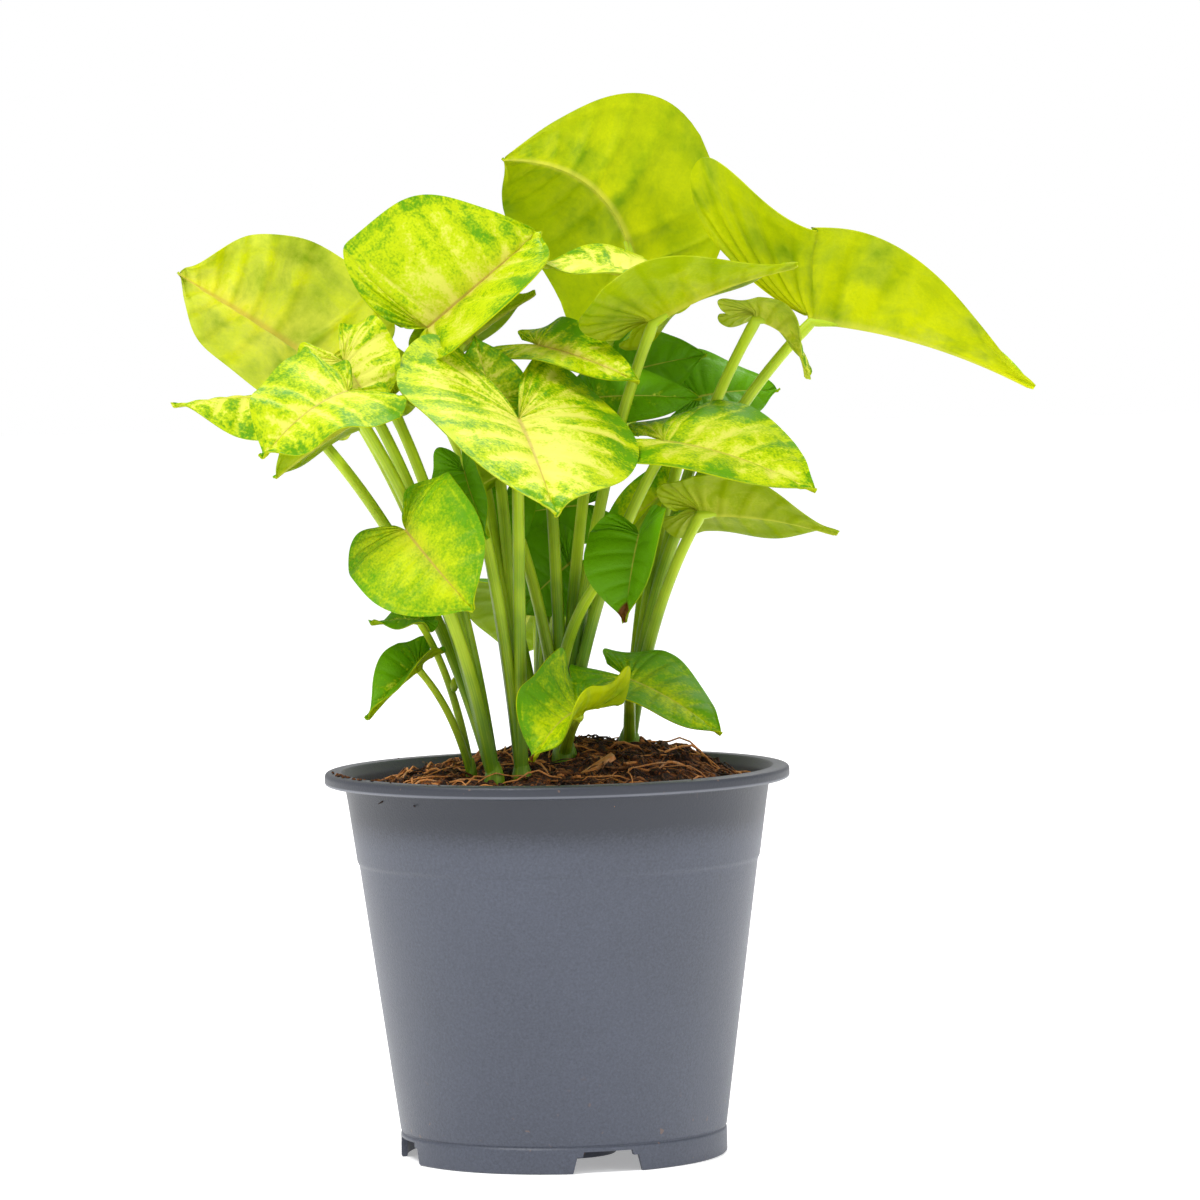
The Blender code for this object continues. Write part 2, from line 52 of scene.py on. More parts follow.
# Pot: a turned plastic wall with a rolled rim, standing on a notched foot ring
POT_HEIGHT = 100.0
RIM_RADIUS = 60.0
RIM_LIP = 3.2
RIM_EDGE = 1.0
LIP_EDGE = 0.4
LIP_UNDERCUT = 0.8
RIM_MOUTH_RADIUS = 55.8
SHOULDER_RADIUS = 54.05
SHOULDER_HEIGHT = 91.5
BAND_RADIUS = 51.5
BAND_HEIGHT = 75.9
BAND_STEP = 0.5
BAND_STEP_HEIGHT = 0.9
FOOT_RADIUS = 42.2
FOOT_HEIGHT = 6.3
FOOT_WALL = 1.6
FOOT_GROOVE = 0.5
FOOT_EDGE = 0.4
POT_WALL = 1.2
BASE_THICKNESS = 1.6
CENTRE_PAD_RADIUS = 13.4
PAD_SLOPE = 1.2
NOTCHES = 4
NOTCH_WIDTH = 18.6
NOTCH_TOP_WIDTH = 15.6
NOTCH_HEIGHT = 5.6
NOTCH_REACH = 6.0
FIRST_NOTCH_ANGLE = -74.5
DRAIN_HOLES = 8
DRAIN_RADIUS = 4.0
DRAIN_CIRCLE = 27.0

# Soil: what fills the pot, heaped a little in the middle
SOIL_GAP = 0.3
SOIL_EDGE_HEIGHT = 94.0
SOIL_HEAP = 8.5
SOIL_HEAP_RADIUS = 34.0
SOIL_HEAP_CENTRE = (10.0, 14.0)
SOIL_RISE = 2.5
SOIL_SHORE = 0.25
SOIL_LUMP = 1.6
SOIL_LUMP_SPACING = 9.0
SOIL_RADIUS = 52.3
HOLE_DEPTH = 12.0
HOLE_GAP = 0.4

# Leaf: half an outline from tip to inner corner of the back lobe, for a length of 1 from joint to tip, a
# half width of 1 and back lobes 1 long. Each row is (along, across, where its side vein leaves the midrib).
OUTLINE = (
    (1.00, 0.00, 1.00),
    (0.90, 0.13, 0.80),
    (0.74, 0.42, 0.58),
    (0.53, 0.72, 0.37),
    (0.29, 0.92, 0.18),
    (0.04, 1.00, 0.04),
    (-0.35, 0.98, 0.00),
    (-0.72, 0.82, 0.00),
    (-0.97, 0.57, 0.00),
    (-0.94, 0.34, 0.00),
    (-0.68, 0.15, 0.00),
)
VEIN_SWEEP = 0.14
LOBE_TURN = 0.667
MARGIN_WAVER = 0.10
MARGIN_WAVERS = 3.4
HALVES_APART = 1.7
STALK_FOOT = 1.2
STALK_REACH = 0.01
STALK_TUCK = 1.1
KNEE_OUT = 0.3
KNEE_UP = 0.62
CROWN_HEIGHT = 5.0


@dataclass
class Leaf:
    """One leaf. Points are (x, y, z) and angles are degrees. A pair of values is for the left and right half
    of the blade, as someone sees them who stands at the joint and faces the tip."""

    name: str
    joint: tuple
    tip: tuple
    face: tuple
    width: float
    lobes: float
    fold: tuple = (12.0, 12.0)
    curl: tuple = (-14.0, -14.0)
    droop: float = 24.0
    lobe_droop: float = 16.0
    sweep: float = 0.0
    blunt: float = 1.0
    wave: float = 1.3
    waves: float = 2.5
    bow: tuple = (0.0, 0.0, 0.0)
    stalk: float = 1.4


# Shoots: where each crown stands in the soil, how thick it is, and its leaves
SHOOTS = {
    "shoot_front": ((-9.0, -19.0), 2.8, (
        Leaf("hero", (-8, -32, 191), (1, -76, 168), (0.2, -0.5, 0.87), 62, 34,
             fold=(8, 20), curl=(-30, -20), droop=10, lobe_droop=-8),
        Leaf("upper_left", (-31, 4, 214), (-2, 16, 238), (0.47, -0.79, 0.37), 61, 8,
             fold=(0, 70), curl=(-5, 10), lobe_droop=0, blunt=0.58, bow=(0, 14, 0)),
        Leaf("rolled", (-25, 13, 208), (-3, 15, 222), (0.0, 0.6, 0.8), 27, 8, fold=(32, 32)),
        Leaf("tucked", (-22, -26, 178), (-16, -30, 161), (-0.6, -0.6, 0.5), 18, 7, fold=(40, 40)),
        Leaf("under_hero", (-9, -13, 180), (-27, -16, 168), (0.0, 0.5, 0.87), 24, 8),
        Leaf("mid_shaded", (-15, -6, 196), (-19, -10, 212), (0.0, -0.95, 0.3), 20, 7, bow=(0, 9, 0)),
    )),
    "shoot_front_left": ((-16.0, -22.0), 2.8, (
        Leaf("left_arched", (-51, -36, 199), (-72, -56, 183), (-0.25, -0.75, 0.6), 34, 8,
             fold=(12, 20), droop=45, lobe_droop=0, blunt=0.6, wave=2.2, waves=3.5),
        Leaf("left_ruffled", (-52, -22, 206), (-44, -26, 193), (0.0, -0.95, 0.3), 28, 10,
             blunt=0.7, wave=2.0, waves=3.5),
        Leaf("left_hanging", (-41, -12, 196), (-70, -22, 177), (-0.4, 0.7, 0.5), 32, 8, fold=(40, 40)),
        Leaf("left_pale", (-59, 24, 205), (-96, 26, 229), (0.1, 0.95, 0.2), 50, 14,
             fold=(8, 44), blunt=0.45, wave=1.8, waves=4.5),
        Leaf("left_tip", (-67, 4, 196), (-97, -2, 195), (0.0, -0.4, 0.94), 34, 12,
             fold=(-10, -20), curl=(-30, -20), bow=(0, 16, 0)),
        Leaf("yellow_hanging", (-37, -40, 164), (-20, -54, 144), (-0.35, -0.9, 0.3), 36, 9,
             droop=30, blunt=0.65),
    )),
    "shoot_left_small": ((-22.0, -8.0), 1.6, (
        Leaf("low_twisted", (-35, -15, 128), (-48, -26, 115), (-0.3, -0.6, 0.7), 16, 7,
             fold=(50, 50), stalk=0.9),
        Leaf("low_tip", (-34, -17, 140), (-47, -18, 139), (0.0, -0.4, 0.9), 10, 4,
             bow=(0, 8, 0), stalk=0.9),
    )),
    "shoot_centre": ((2.0, -2.0), 3.4, (
        Leaf("right_front", (29, -9, 184), (67, -29, 171), (0.1, -0.55, 0.83), 55, 18,
             fold=(0, 25), blunt=0.85),
        Leaf("tall_centre", (26, 2, 215), (64, -14, 228), (-0.2, 0.3, 0.96), 47, 13, fold=(20, 20)),
        Leaf("young_pink", (-3, 2, 209), (23, -13, 199), (0.3, -0.8, 0.5), 25, 10,
             fold=(0, 30), bow=(0, 4, 0)),
        Leaf("right_shaded", (12, 11, 195), (39, 10, 194), (0.0, -0.85, 0.5), 20, 7),
        Leaf("mid_low", (-12, 3, 170), (-15, 1, 149), (0.0, -0.9, 0.4), 17, 7),
        Leaf("brown_tipped", (22, -27, 161), (18, -33, 139), (-0.3, -0.9, 0.3), 28, 5,
             fold=(55, 5), blunt=0.8, bow=(-12, 0, 0)),
        Leaf("withered", (6, -32, 117), (-6, -45, 105), (-0.2, -0.6, 0.7), 32, 8,
             fold=(20, 20), curl=(70, 60), droop=60, wave=2.2, waves=3.5),
    )),
    "shoot_back_right": ((19.0, 16.0), 3.4, (
        Leaf("high_right", (68, 17, 215), (125, 7, 195), (0.0, 0.0, 1.0), 57, 53,
             fold=(30, 60), lobe_droop=-54, blunt=1.15, bow=(-8, 0, 0)),
        Leaf("curled", (54, 6, 216), (66, 0, 199), (0.2, 0.3, 0.9), 24, 10,
             droop=80, lobe_droop=30, bow=(0, 17, 0)),
        Leaf("right_inner", (39, 34, 194), (60, 40, 195), (0.0, -0.75, 0.65), 28, 11),
        Leaf("right_under", (38, -1, 166), (73, -9, 159), (0.0, 0.5, 0.86), 34, 10),
        Leaf("low_right", (19, -8, 123), (42, -20, 109), (0.1, -0.5, 0.85), 32, 13,
             fold=(5, 20), lobe_droop=0),
        Leaf("back_right", (31, 58, 181), (58, 87, 172), (0.1, 0.3, 0.95), 48, 20),
    )),
    "shoot_back": ((-4.0, 22.0), 3.4, (
        Leaf("top_back", (23, 44, 229), (-11, 43, 257), (0.2, 0.9, 0.3), 67, 14,
             fold=(48, 24), droop=20, blunt=0.48, sweep=9, wave=1.8, bow=(-4, 12, 0)),
        Leaf("cream_middle", (24, 14, 227), (-5, 15, 229), (0.0, -0.2, 0.98), 33, 8,
             lobe_droop=-4, blunt=0.8, bow=(-6, 12, 0)),
        Leaf("dark_middle", (17, 27, 200), (41, 25, 205), (0.1, -0.85, 0.5), 28, 9),
        Leaf("dark_low", (4, 9, 152), (-10, 11, 139), (0.0, -0.9, 0.4), 26, 6),
        Leaf("dark_centre", (9, 17, 167), (-18, 19, 163), (0.0, -0.9, 0.4), 22, 6),
        Leaf("yellow_old", (31, 31, 170), (9, 35, 153), (0.1, -0.9, 0.4), 15, 6),
        Leaf("back_high", (-1, 66, 190), (5, 109, 172), (0.0, 0.3, 0.95), 56, 26),
        Leaf("back_left", (-32, 45, 200), (-62, 71, 194), (-0.1, 0.3, 0.95), 46, 20),
        Leaf("back_low", (-4, 52, 142), (-12, 84, 122), (0.0, 0.5, 0.87), 40, 16),
    )),
}

# Fine blades: the mesh, the swelling between side veins, the vein inside the margin, and the midrib's ridge
FINE_ROWS = 84
FINE_COLUMNS = 18
COLUMN_CROWDING = 1.15
FINE_BLADE_THICKNESS = 0.5
MARGIN_THINNING = 0.35
SIDE_VEINS = 12.0
BULGE = 0.95
BULGE_FULL_WIDTH = 60.0
BULGE_ROUNDNESS = 0.7
BULGE_OUTWARD = 0.75
MARGIN_VEIN = 0.88
MARGIN_VEIN_DEPTH = 0.5
MARGIN_VEIN_WIDTH = 0.05
RIDGE_WIDTH = 0.88
RIDGE_DEPTH = 1.25
RIDGE_REACH = 0.97
RIDGE_TAPER = 0.8
LEAF_CREASE = 55.0
MERGE_DISTANCE = 2e-7
NO_LENGTH = 1e-7

# Fine stalks: a sheath below, a swollen neck above, and a taper that runs out under the blade
STALK_RINGS = 36
STALK_SIDES = 16
STALK_THINNING = 0.8
NECK_SWELL = 0.10
NECK_PLACE = 0.97
NECK_LENGTH = 0.03
SHEATH_END = 0.45
SHEATH_WING = 0.12
SHEATH_FADE = 0.5
WING_SHARPNESS = 6
TAPER_RINGS = 5
TAPER_RUN = 0.14
TAPER_RISE = 0.35
TAPER = 0.55
FINE_CROWN_RINGS = 10
FINE_CROWN_SIDES = 24
CROWN_SHOULDER = 0.6
CROWN_TAPER = 0.55
CROWN_STRIPES = 0.1
CROWN_LOOK = (0.0, 0.3, 0.0, 0.0)

# How each leaf is coloured: cream in it, how yellow its green is, rose in its midrib, brown at its tip. For
# the leaves deep in the cluster, such as dark_middle, dark_low and dark_centre, the low second value also
# paints shade: it keeps their green deep where they sit in shade.
LOOKS = {
    "hero": (0.66, 0.71, 0.4, 0.0),
    "upper_left": (0.50, 0.92, 0.6, 0.0),
    "rolled": (0.30, 0.45, 0.2, 0.0),
    "tucked": (0.10, 0.25, 0.1, 0.0),
    "under_hero": (0.15, 0.30, 0.1, 0.0),
    "mid_shaded": (0.45, 0.55, 0.1, 0.0),
    "left_arched": (0.54, 0.80, 0.3, 0.0),
    "left_ruffled": (0.78, 0.75, 0.2, 0.0),
    "left_hanging": (0.35, 0.62, 0.1, 0.0),
    "left_pale": (0.80, 0.95, 0.6, 0.0),
    "left_tip": (0.70, 0.70, 0.2, 0.0),
    "yellow_hanging": (0.05, 1.12, 0.6, 0.0),
    "low_twisted": (0.30, 0.45, 0.0, 0.0),
    "low_tip": (0.40, 0.30, 0.0, 0.0),
    "right_front": (0.50, 0.74, 0.2, 0.0),
    "tall_centre": (0.56, 0.70, 0.1, 0.0),
    "young_pink": (0.52, 0.75, 1.0, 0.0),
    "mid_low": (0.05, 0.15, 0.0, 0.0),
    "brown_tipped": (0.05, 0.10, 0.0, 1.0),
    "withered": (0.20, 0.85, 0.0, 0.5),
    "high_right": (0.40, 1.10, 0.0, 0.0),
    "curled": (0.85, 0.55, 0.0, 0.0),
    "right_inner": (0.10, 0.30, 0.0, 0.0),
    "right_shaded": (0.25, 0.30, 0.0, 0.0),
    "right_under": (0.62, 0.45, 0.0, 0.0),
    "low_right": (0.14, 0.88, 0.0, 0.0),
    "back_right": (0.45, 0.50, 0.2, 0.0),
    "top_back": (0.18, 1.10, 0.1, 0.0),
    "cream_middle": (0.80, 0.70, 0.1, 0.0),
    "dark_middle": (0.0, 0.02, 0.0, 0.0),
    "dark_low": (0.05, 0.10, 0.0, 0.0),
    "dark_centre": (0.10, 0.15, 0.0, 0.0),
    "yellow_old": (0.30, 1.0, 0.0, 0.3),
    "back_high": (0.55, 0.55, 0.3, 0.0),
    "back_left": (0.50, 0.60, 0.2, 0.0),
    "back_low": (0.15, 0.25, 0.0, 0.0),
}

# Colours, as linear red, green and blue
DEEP_GREEN = (0.15, 0.40, 0.001)
LIGHT_GREEN = (0.66, 0.78, 0.002)
CREAM = (0.92, 0.89, 0.16)
UNDER_DARK = (0.24, 0.38, 0.001)
UNDER_GREEN = (0.78, 0.78, 0.001)
UNDER_PALE = (0.84, 0.84, 0.12)
ROSE = (0.52, 0.20, 0.07)
TAN = (0.66, 0.60, 0.10)
BROWN = (0.16, 0.055, 0.004)
STALK_PALE = (0.46, 0.60, 0.02)
STALK_GREEN = (0.09, 0.21, 0.001)
PEAT = (0.018, 0.006, 0.002)
PEAT_LIGHT = (0.58, 0.17, 0.014)
FIBRE = (0.66, 0.25, 0.06)
CHIP = (0.62, 0.40, 0.22)
PLASTIC = (0.057, 0.065, 0.090)
# The next colour is the painted highlight along the pot lip's lower edge.
PAINTED_LIP_HIGHLIGHT = (0.16, 0.17, 0.20)
DUST = (0.21, 0.12, 0.075)

# Noise on the blades: scale, detail and roughness
BLADE_NOISE = {"patch": (75.0, 2.0, 0.5), "net": (520.0, 3.0, 0.7), "speckle": (1500.0, 1.0, 0.5)}

# Fine pot
FINE_POT_SIDES = 180
CORNER_STEPS = 3
CORNER_REACH = 0.45
CORNER_SHARE = 0.4
NEARLY_STRAIGHT = 172.0
NOTCH_CORNER = 1.4
NOTCH_CORNER_STEPS = 4
DRAIN_SIDES = 32
DRAIN_CUT = 8.0
DRAIN_CUT_MIDDLE = FOOT_HEIGHT + 1.0
POT_CREASE = 40.0

# Fine soil, and what lies on it and on the rim
SOIL_TURNS = 220
SOIL_STEPS = 74
SOIL_CROWDING = 0.85
SOIL_PAST_WALL = 0.6
SOIL_WALL = slice(3, 8)
ROUGH_FROM_WALL = (9.0, 0.25)
FINE_LUMP = (1.1, 5.0)
FINE_PIT = (0.45, 1.7)
CLEAR_OF_CROWN = 0.8
CRUMBS = 900
FIBRES = 620
ROOTS = 130
CHIPS = 60
RIM_CRUMBS = 34
STRAND_STEPS = 7
STRAND_SIDES = 5
STRAND_REACH = 51.5
LARGE_CHIPS = [((11.0, -17.0), 10.5, 3.0, 0.6, -0.45), ((4.0, -25.0), 6.0, 1.6, 2.2, 0.2)]

# A small bud: where it hangs and its outline
BUD_PLACE = Vector((-26.0, -9.0, 120.6))
BUD_HEIGHTS = (0.0, 0.4, 1.2, 2.2, 3.2, 3.8)
BUD_RADII = (0.2, 0.7, 1.05, 1.0, 0.6, 0.2)

# Camera in millimetres and degrees, and stage
CAMERA_PLACE = (0.0, -1800.0, 245.0)
CAMERA_YAW = 0.3796
CAMERA_PITCH = 3.2412
CAMERA_ROLL = -1.0948
CAMERA_LENS = 209.77
SENSOR_WIDTH = 36.0
FARTHEST_SEEN = 20.0
SKY_STRENGTH = 0.76
SKY_SEEN = 1.0
STAGE_GLOW = 0.34
STAGE_RADIUS = 6000.0
STAGE_SIDES = 64

# Lights: place in metres, size in metres and power in watts. They aim at the middle of the plant.
LIGHTS = {
    "key": ((-0.7, -0.9, 1.7), 0.5, 26.0),
    "fill": ((1.2, -1.0, 0.7), 1.0, 4.0),
    "back": ((0.3, 0.8, 1.3), 0.8, 14.0),
}
LIGHTS_AIM = Vector((0.0, 0.0, 0.16))


def mm(*values):
    """Millimetres to a point in metres."""
    return Vector([value * MM for value in values])


def pot_outside():
    """The pot's outer side, from the top of its rim down to the middle of its underside."""
    lip_bottom = POT_HEIGHT - RIM_LIP
    return [
        (RIM_RADIUS - RIM_EDGE, POT_HEIGHT),
        (RIM_RADIUS - RIM_EDGE / 4, POT_HEIGHT - RIM_EDGE / 3),
        (RIM_RADIUS, POT_HEIGHT - RIM_EDGE),
        (RIM_RADIUS, lip_bottom + LIP_EDGE),
        (RIM_RADIUS - LIP_EDGE, lip_bottom),
        (SHOULDER_RADIUS + LIP_UNDERCUT, lip_bottom - LIP_EDGE),
        (SHOULDER_RADIUS, SHOULDER_HEIGHT),
        (BAND_RADIUS + BAND_STEP, BAND_HEIGHT + BAND_STEP_HEIGHT),
        (BAND_RADIUS, BAND_HEIGHT),
        (FOOT_RADIUS, FOOT_HEIGHT + 2 * FOOT_GROOVE),
        (FOOT_RADIUS - FOOT_GROOVE, FOOT_HEIGHT + FOOT_GROOVE),
        (FOOT_RADIUS, FOOT_HEIGHT),
        (FOOT_RADIUS, FOOT_EDGE),
        (FOOT_RADIUS - FOOT_EDGE, 0.0),
        (FOOT_RADIUS - FOOT_WALL, 0.0),
        (FOOT_RADIUS - FOOT_WALL, FOOT_HEIGHT),
        (CENTRE_PAD_RADIUS + PAD_SLOPE, FOOT_HEIGHT),
        (CENTRE_PAD_RADIUS, 0.0),
        (0.0, 0.0),
    ]


def pot_inside():
    """The pot's inner side, from the middle of its floor up to the mouth."""
    floor = FOOT_HEIGHT + BASE_THICKNESS
    return [
        (0.0, BASE_THICKNESS),
        (CENTRE_PAD_RADIUS - POT_WALL, BASE_THICKNESS),
        (CENTRE_PAD_RADIUS - POT_WALL + PAD_SLOPE / 2, floor),
        (FOOT_RADIUS - POT_WALL - FOOT_GROOVE, floor),
        (FOOT_RADIUS - POT_WALL, floor + POT_WALL),
        (BAND_RADIUS - POT_WALL, BAND_HEIGHT),
        (BAND_RADIUS + BAND_STEP - POT_WALL, BAND_HEIGHT + BAND_STEP_HEIGHT),
        (SHOULDER_RADIUS - POT_WALL, SHOULDER_HEIGHT),
        (SHOULDER_RADIUS, POT_HEIGHT - RIM_LIP + LIP_UNDERCUT),
        (RIM_MOUTH_RADIUS - LIP_EDGE, POT_HEIGHT - LIP_EDGE),
        (RIM_MOUTH_RADIUS, POT_HEIGHT),
    ]


def soil_top(x, y):
    """Height of the soil's surface: level with the rim at the edge, heaped round the plants, and lumpy."""
    from_edge = 1.0 - min(1.0, math.hypot(x, y) / SOIL_RADIUS)
    away_from_wall = min(1.0, from_edge / SOIL_SHORE)
    from_heap = math.hypot(x - SOIL_HEAP_CENTRE[0], y - SOIL_HEAP_CENTRE[1])
    heap = SOIL_HEAP * math.exp(-((from_heap / SOIL_HEAP_RADIUS) ** 2))
    lump = SOIL_LUMP * noise.noise(Vector((x, y, 0.0)) / SOIL_LUMP_SPACING)
    return SOIL_EDGE_HEIGHT + away_from_wall * (SOIL_RISE + heap + lump)


def through(points, at):
    """A smooth curve through the points, read at 0 for the first and 1 for the last."""
    last = len(points) - 1
    index = min(int(at * last), last - 1)
    step = at * last - index
    a, b, c, d = (Vector(points[min(max(index + k, 0), last)]) for k in (-1, 0, 1, 2))
    if index == 0:
        a = 2.0 * b - c
    if index + 1 == last:
        d = 2.0 * c - b
    square = 2 * a - 5 * b + 4 * c - d
    cube = 3 * b - a - 3 * c + d
    return 0.5 * (2 * b + (c - a) * step + square * step**2 + cube * step**3)


def arc(angle, length, start=0.0):
    """Where a line that turns evenly through an angle gets to: (along, up)."""
    if abs(angle) < 1e-6:
        return length * math.cos(start), length * math.sin(start)
    return (
        length * (math.sin(start + angle) - math.sin(start)) / angle,
        length * (math.cos(start) - math.cos(start + angle)) / angle,
    )


class Form:
    """How one leaf's flat outline is bent and placed."""

    def __init__(self, leaf):
        self.leaf = leaf
        self.joint = Vector(leaf.joint)
        chord = Vector(leaf.tip) - self.joint
        self.droop = math.radians(leaf.droop)
        half_droop = self.droop / 2.0
        self.length = chord.length * (half_droop / math.sin(half_droop) if half_droop else 1.0)
        self.ahead = chord.normalized()
        face = Vector(leaf.face)
        self.up = (face - self.ahead * face.dot(self.ahead)).normalized()
        self.side = self.up.cross(self.ahead)
        self.local_ahead = Vector((math.cos(half_droop), 0.0, -math.sin(half_droop)))
        self.local_up = Vector((math.sin(half_droop), 0.0, math.cos(half_droop)))

    def bend(self, x, y, z):
        """Droops a point of the folded blade, and puts it in its place."""
        if x >= 0.0:
            tilt = -self.droop * x / self.length
            along, up = arc(tilt, x)
        else:
            tilt = math.radians(self.leaf.lobe_droop) * math.sqrt(-x / self.leaf.lobes)
            along, up = arc(-tilt * LOBE_TURN, -x, -tilt * (1.0 - LOBE_TURN))
            along = -along
        y += 4.0 * self.leaf.sweep * (x / self.length) * (1.0 - x / self.length)
        point = Vector((along - z * math.sin(tilt), y, up + z * math.cos(tilt)))
        return (
            self.joint
            + self.ahead * point.dot(self.local_ahead)
            + self.side * point.y
            + self.up * point.dot(self.local_up)
        )

    def blade(self, across, along):
        """A point of the blade. Across runs from -1 at the right margin to 1 at the left, and along runs from
        0 at the tip to 1 at the back lobe."""
        leaf = self.leaf
        x, y, foot = through(OUTLINE, along)
        share = abs(across)
        foot = self.length * max(foot, 0.0) ** leaf.blunt
        hand = 0 if across > 0.0 else 1
        waver = noise.noise(Vector((MARGIN_WAVERS * along, HALVES_APART * hand, self.joint.x)))
        half_width = leaf.width / 2.0 * (1.0 + MARGIN_WAVER * waver)
        edge = Vector((self.length * x**leaf.blunt if x > 0.0 else x * leaf.lobes, y * half_width))
        x = foot + (edge.x - foot) * share - VEIN_SWEEP * share * (1.0 - share) * edge.y
        y = edge.y * share
        fold = math.radians(leaf.fold[hand])
        curl = math.radians(leaf.curl[hand]) * 2.0 * y / leaf.width
        out, up = arc(curl, y, fold)
        up += leaf.wave * share**2 * math.sin(math.tau * leaf.waves * along + HALVES_APART * hand)
        return self.bend(x, math.copysign(out, across), up)

    def midrib(self, along, below):
        """A point under the midrib, with along from 0 at the joint to 1 at the tip."""
        return self.bend(along * self.length, 0.0, -below)

    def stalk_end(self):
        return self.midrib(STALK_REACH, self.leaf.stalk * STALK_TUCK)

    def stalk_path(self, crown, steps):
        """The stalk's middle line, from inside the crown up to the blade."""
        foot = Vector((*crown, soil_top(*crown)))
        end = self.stalk_end()
        rise = end - foot
        knee = foot + Vector((KNEE_OUT * rise.x, KNEE_OUT * rise.y, KNEE_UP * rise.z))
        knee += Vector(self.leaf.bow)
        shares = [step / steps for step in range(steps + 1)]
        return [(1 - s) ** 2 * foot + 2 * s * (1 - s) * knee + s**2 * end for s in shares]


# Materials


class Shader:
    """A material whose nodes are made by short calls."""

    def __init__(self, name):
        self.material = bpy.data.materials.new(name)
        self.material.use_nodes = True
        self.nodes = self.material.node_tree.nodes
        self.surface = self.nodes["Principled BSDF"]

    def put(self, socket, value):
        if isinstance(value, bpy.types.NodeSocket):
            self.material.node_tree.links.new(value, socket)
        elif isinstance(value, tuple) and len(value) == 3 and socket.type == "RGBA":
            socket.default_value = (*value, 1.0)
        else:
            socket.default_value = value

    def node(self, kind, inputs=(), **settings):
        made = self.nodes.new(kind)
        for key, value in settings.items():
            setattr(made, key, value)
        for key, value in dict(inputs).items():
            self.put(made.inputs[key], value)
        return made

    def math(self, operation, a, b=0.0, c=0.0, clamp=False):
        inputs = {0: a, 1: b, 2: c}
        return self.node("ShaderNodeMath", inputs, operation=operation, use_clamp=clamp).outputs[0]

    def times(self, a, b):
        return self.math("MULTIPLY", a, b)

    def minus(self, a, b):
        return self.math("SUBTRACT", a, b)

    def vector(self, operation, a, b=(0.0, 0.0, 0.0)):
        outputs = self.node("ShaderNodeVectorMath", {0: a, 1: b}, operation=operation).outputs
        return outputs["Value" if operation == "LENGTH" else "Vector"]

    def mix(self, share, a, b):
        made = self.node("ShaderNodeMix", data_type="RGBA")
        for key, value in (("Factor_Float", share), ("A_Color", a), ("B_Color", b)):
            self.put(next(s for s in made.inputs if s.identifier == key), value)
        return next(s for s in made.outputs if s.identifier == "Result_Color")

    def step(self, value, low, high):
        """0 below low, 1 above high, and smooth between them. With low above high it falls instead."""
        made = self.node("ShaderNodeMapRange", {"Value": value}, interpolation_type="SMOOTHSTEP")
        ends = (low, high, 0.0, 1.0) if low < high else (high, low, 1.0, 0.0)
        for key, end in zip(("From Min", "From Max", "To Min", "To Max"), ends):
            made.inputs[key].default_value = end
        return made.outputs["Result"]

    def noise(self, vector, scale, detail, roughness, distortion=0.0):
        inputs = {"Vector": vector, "Scale": scale, "Detail": detail, "Roughness": roughness}
        return self.node("ShaderNodeTexNoise", inputs | {"Distortion": distortion}).outputs["Fac"]

    def weighed(self, sockets, base=0.0, **weights):
        """A base plus each named socket times its weight."""
        for name, weight in weights.items():
            base = self.math("MULTIPLY_ADD", sockets[name], weight, base)
        return base

    def place(self):
        return self.node("ShaderNodeTexCoord").outputs["Object"]

    def blade_uv(self):
        return self.node("ShaderNodeUVMap", uv_map="blade").outputs[0]

    def parts(self, vector):
        return self.node("ShaderNodeSeparateXYZ", {0: vector}).outputs

    def bump(self, height, strength, distance):
        inputs = {"Height": height, "Strength": strength, "Distance": distance}
        return self.node("ShaderNodeBump", inputs).outputs[0]

    def finish(self, **inputs):
        for key, value in inputs.items():
            self.put(self.surface.inputs[key.replace("_", " ").title().replace("Ior", "IOR")], value)
        return self.material

    def glow(self, share, colour, normal):
        """Lets light through the thin sheet: mixes a share of a translucent shader into the surface."""
        inputs = {"Color": colour, "Normal": normal}
        through_sheet = self.node("ShaderNodeBsdfTranslucent", inputs).outputs[0]
        both = self.node("ShaderNodeMixShader", {0: share, 1: self.surface.outputs[0], 2: through_sheet})
        self.put(self.nodes["Material Output"].inputs["Surface"], both.outputs[0])
        return self.material


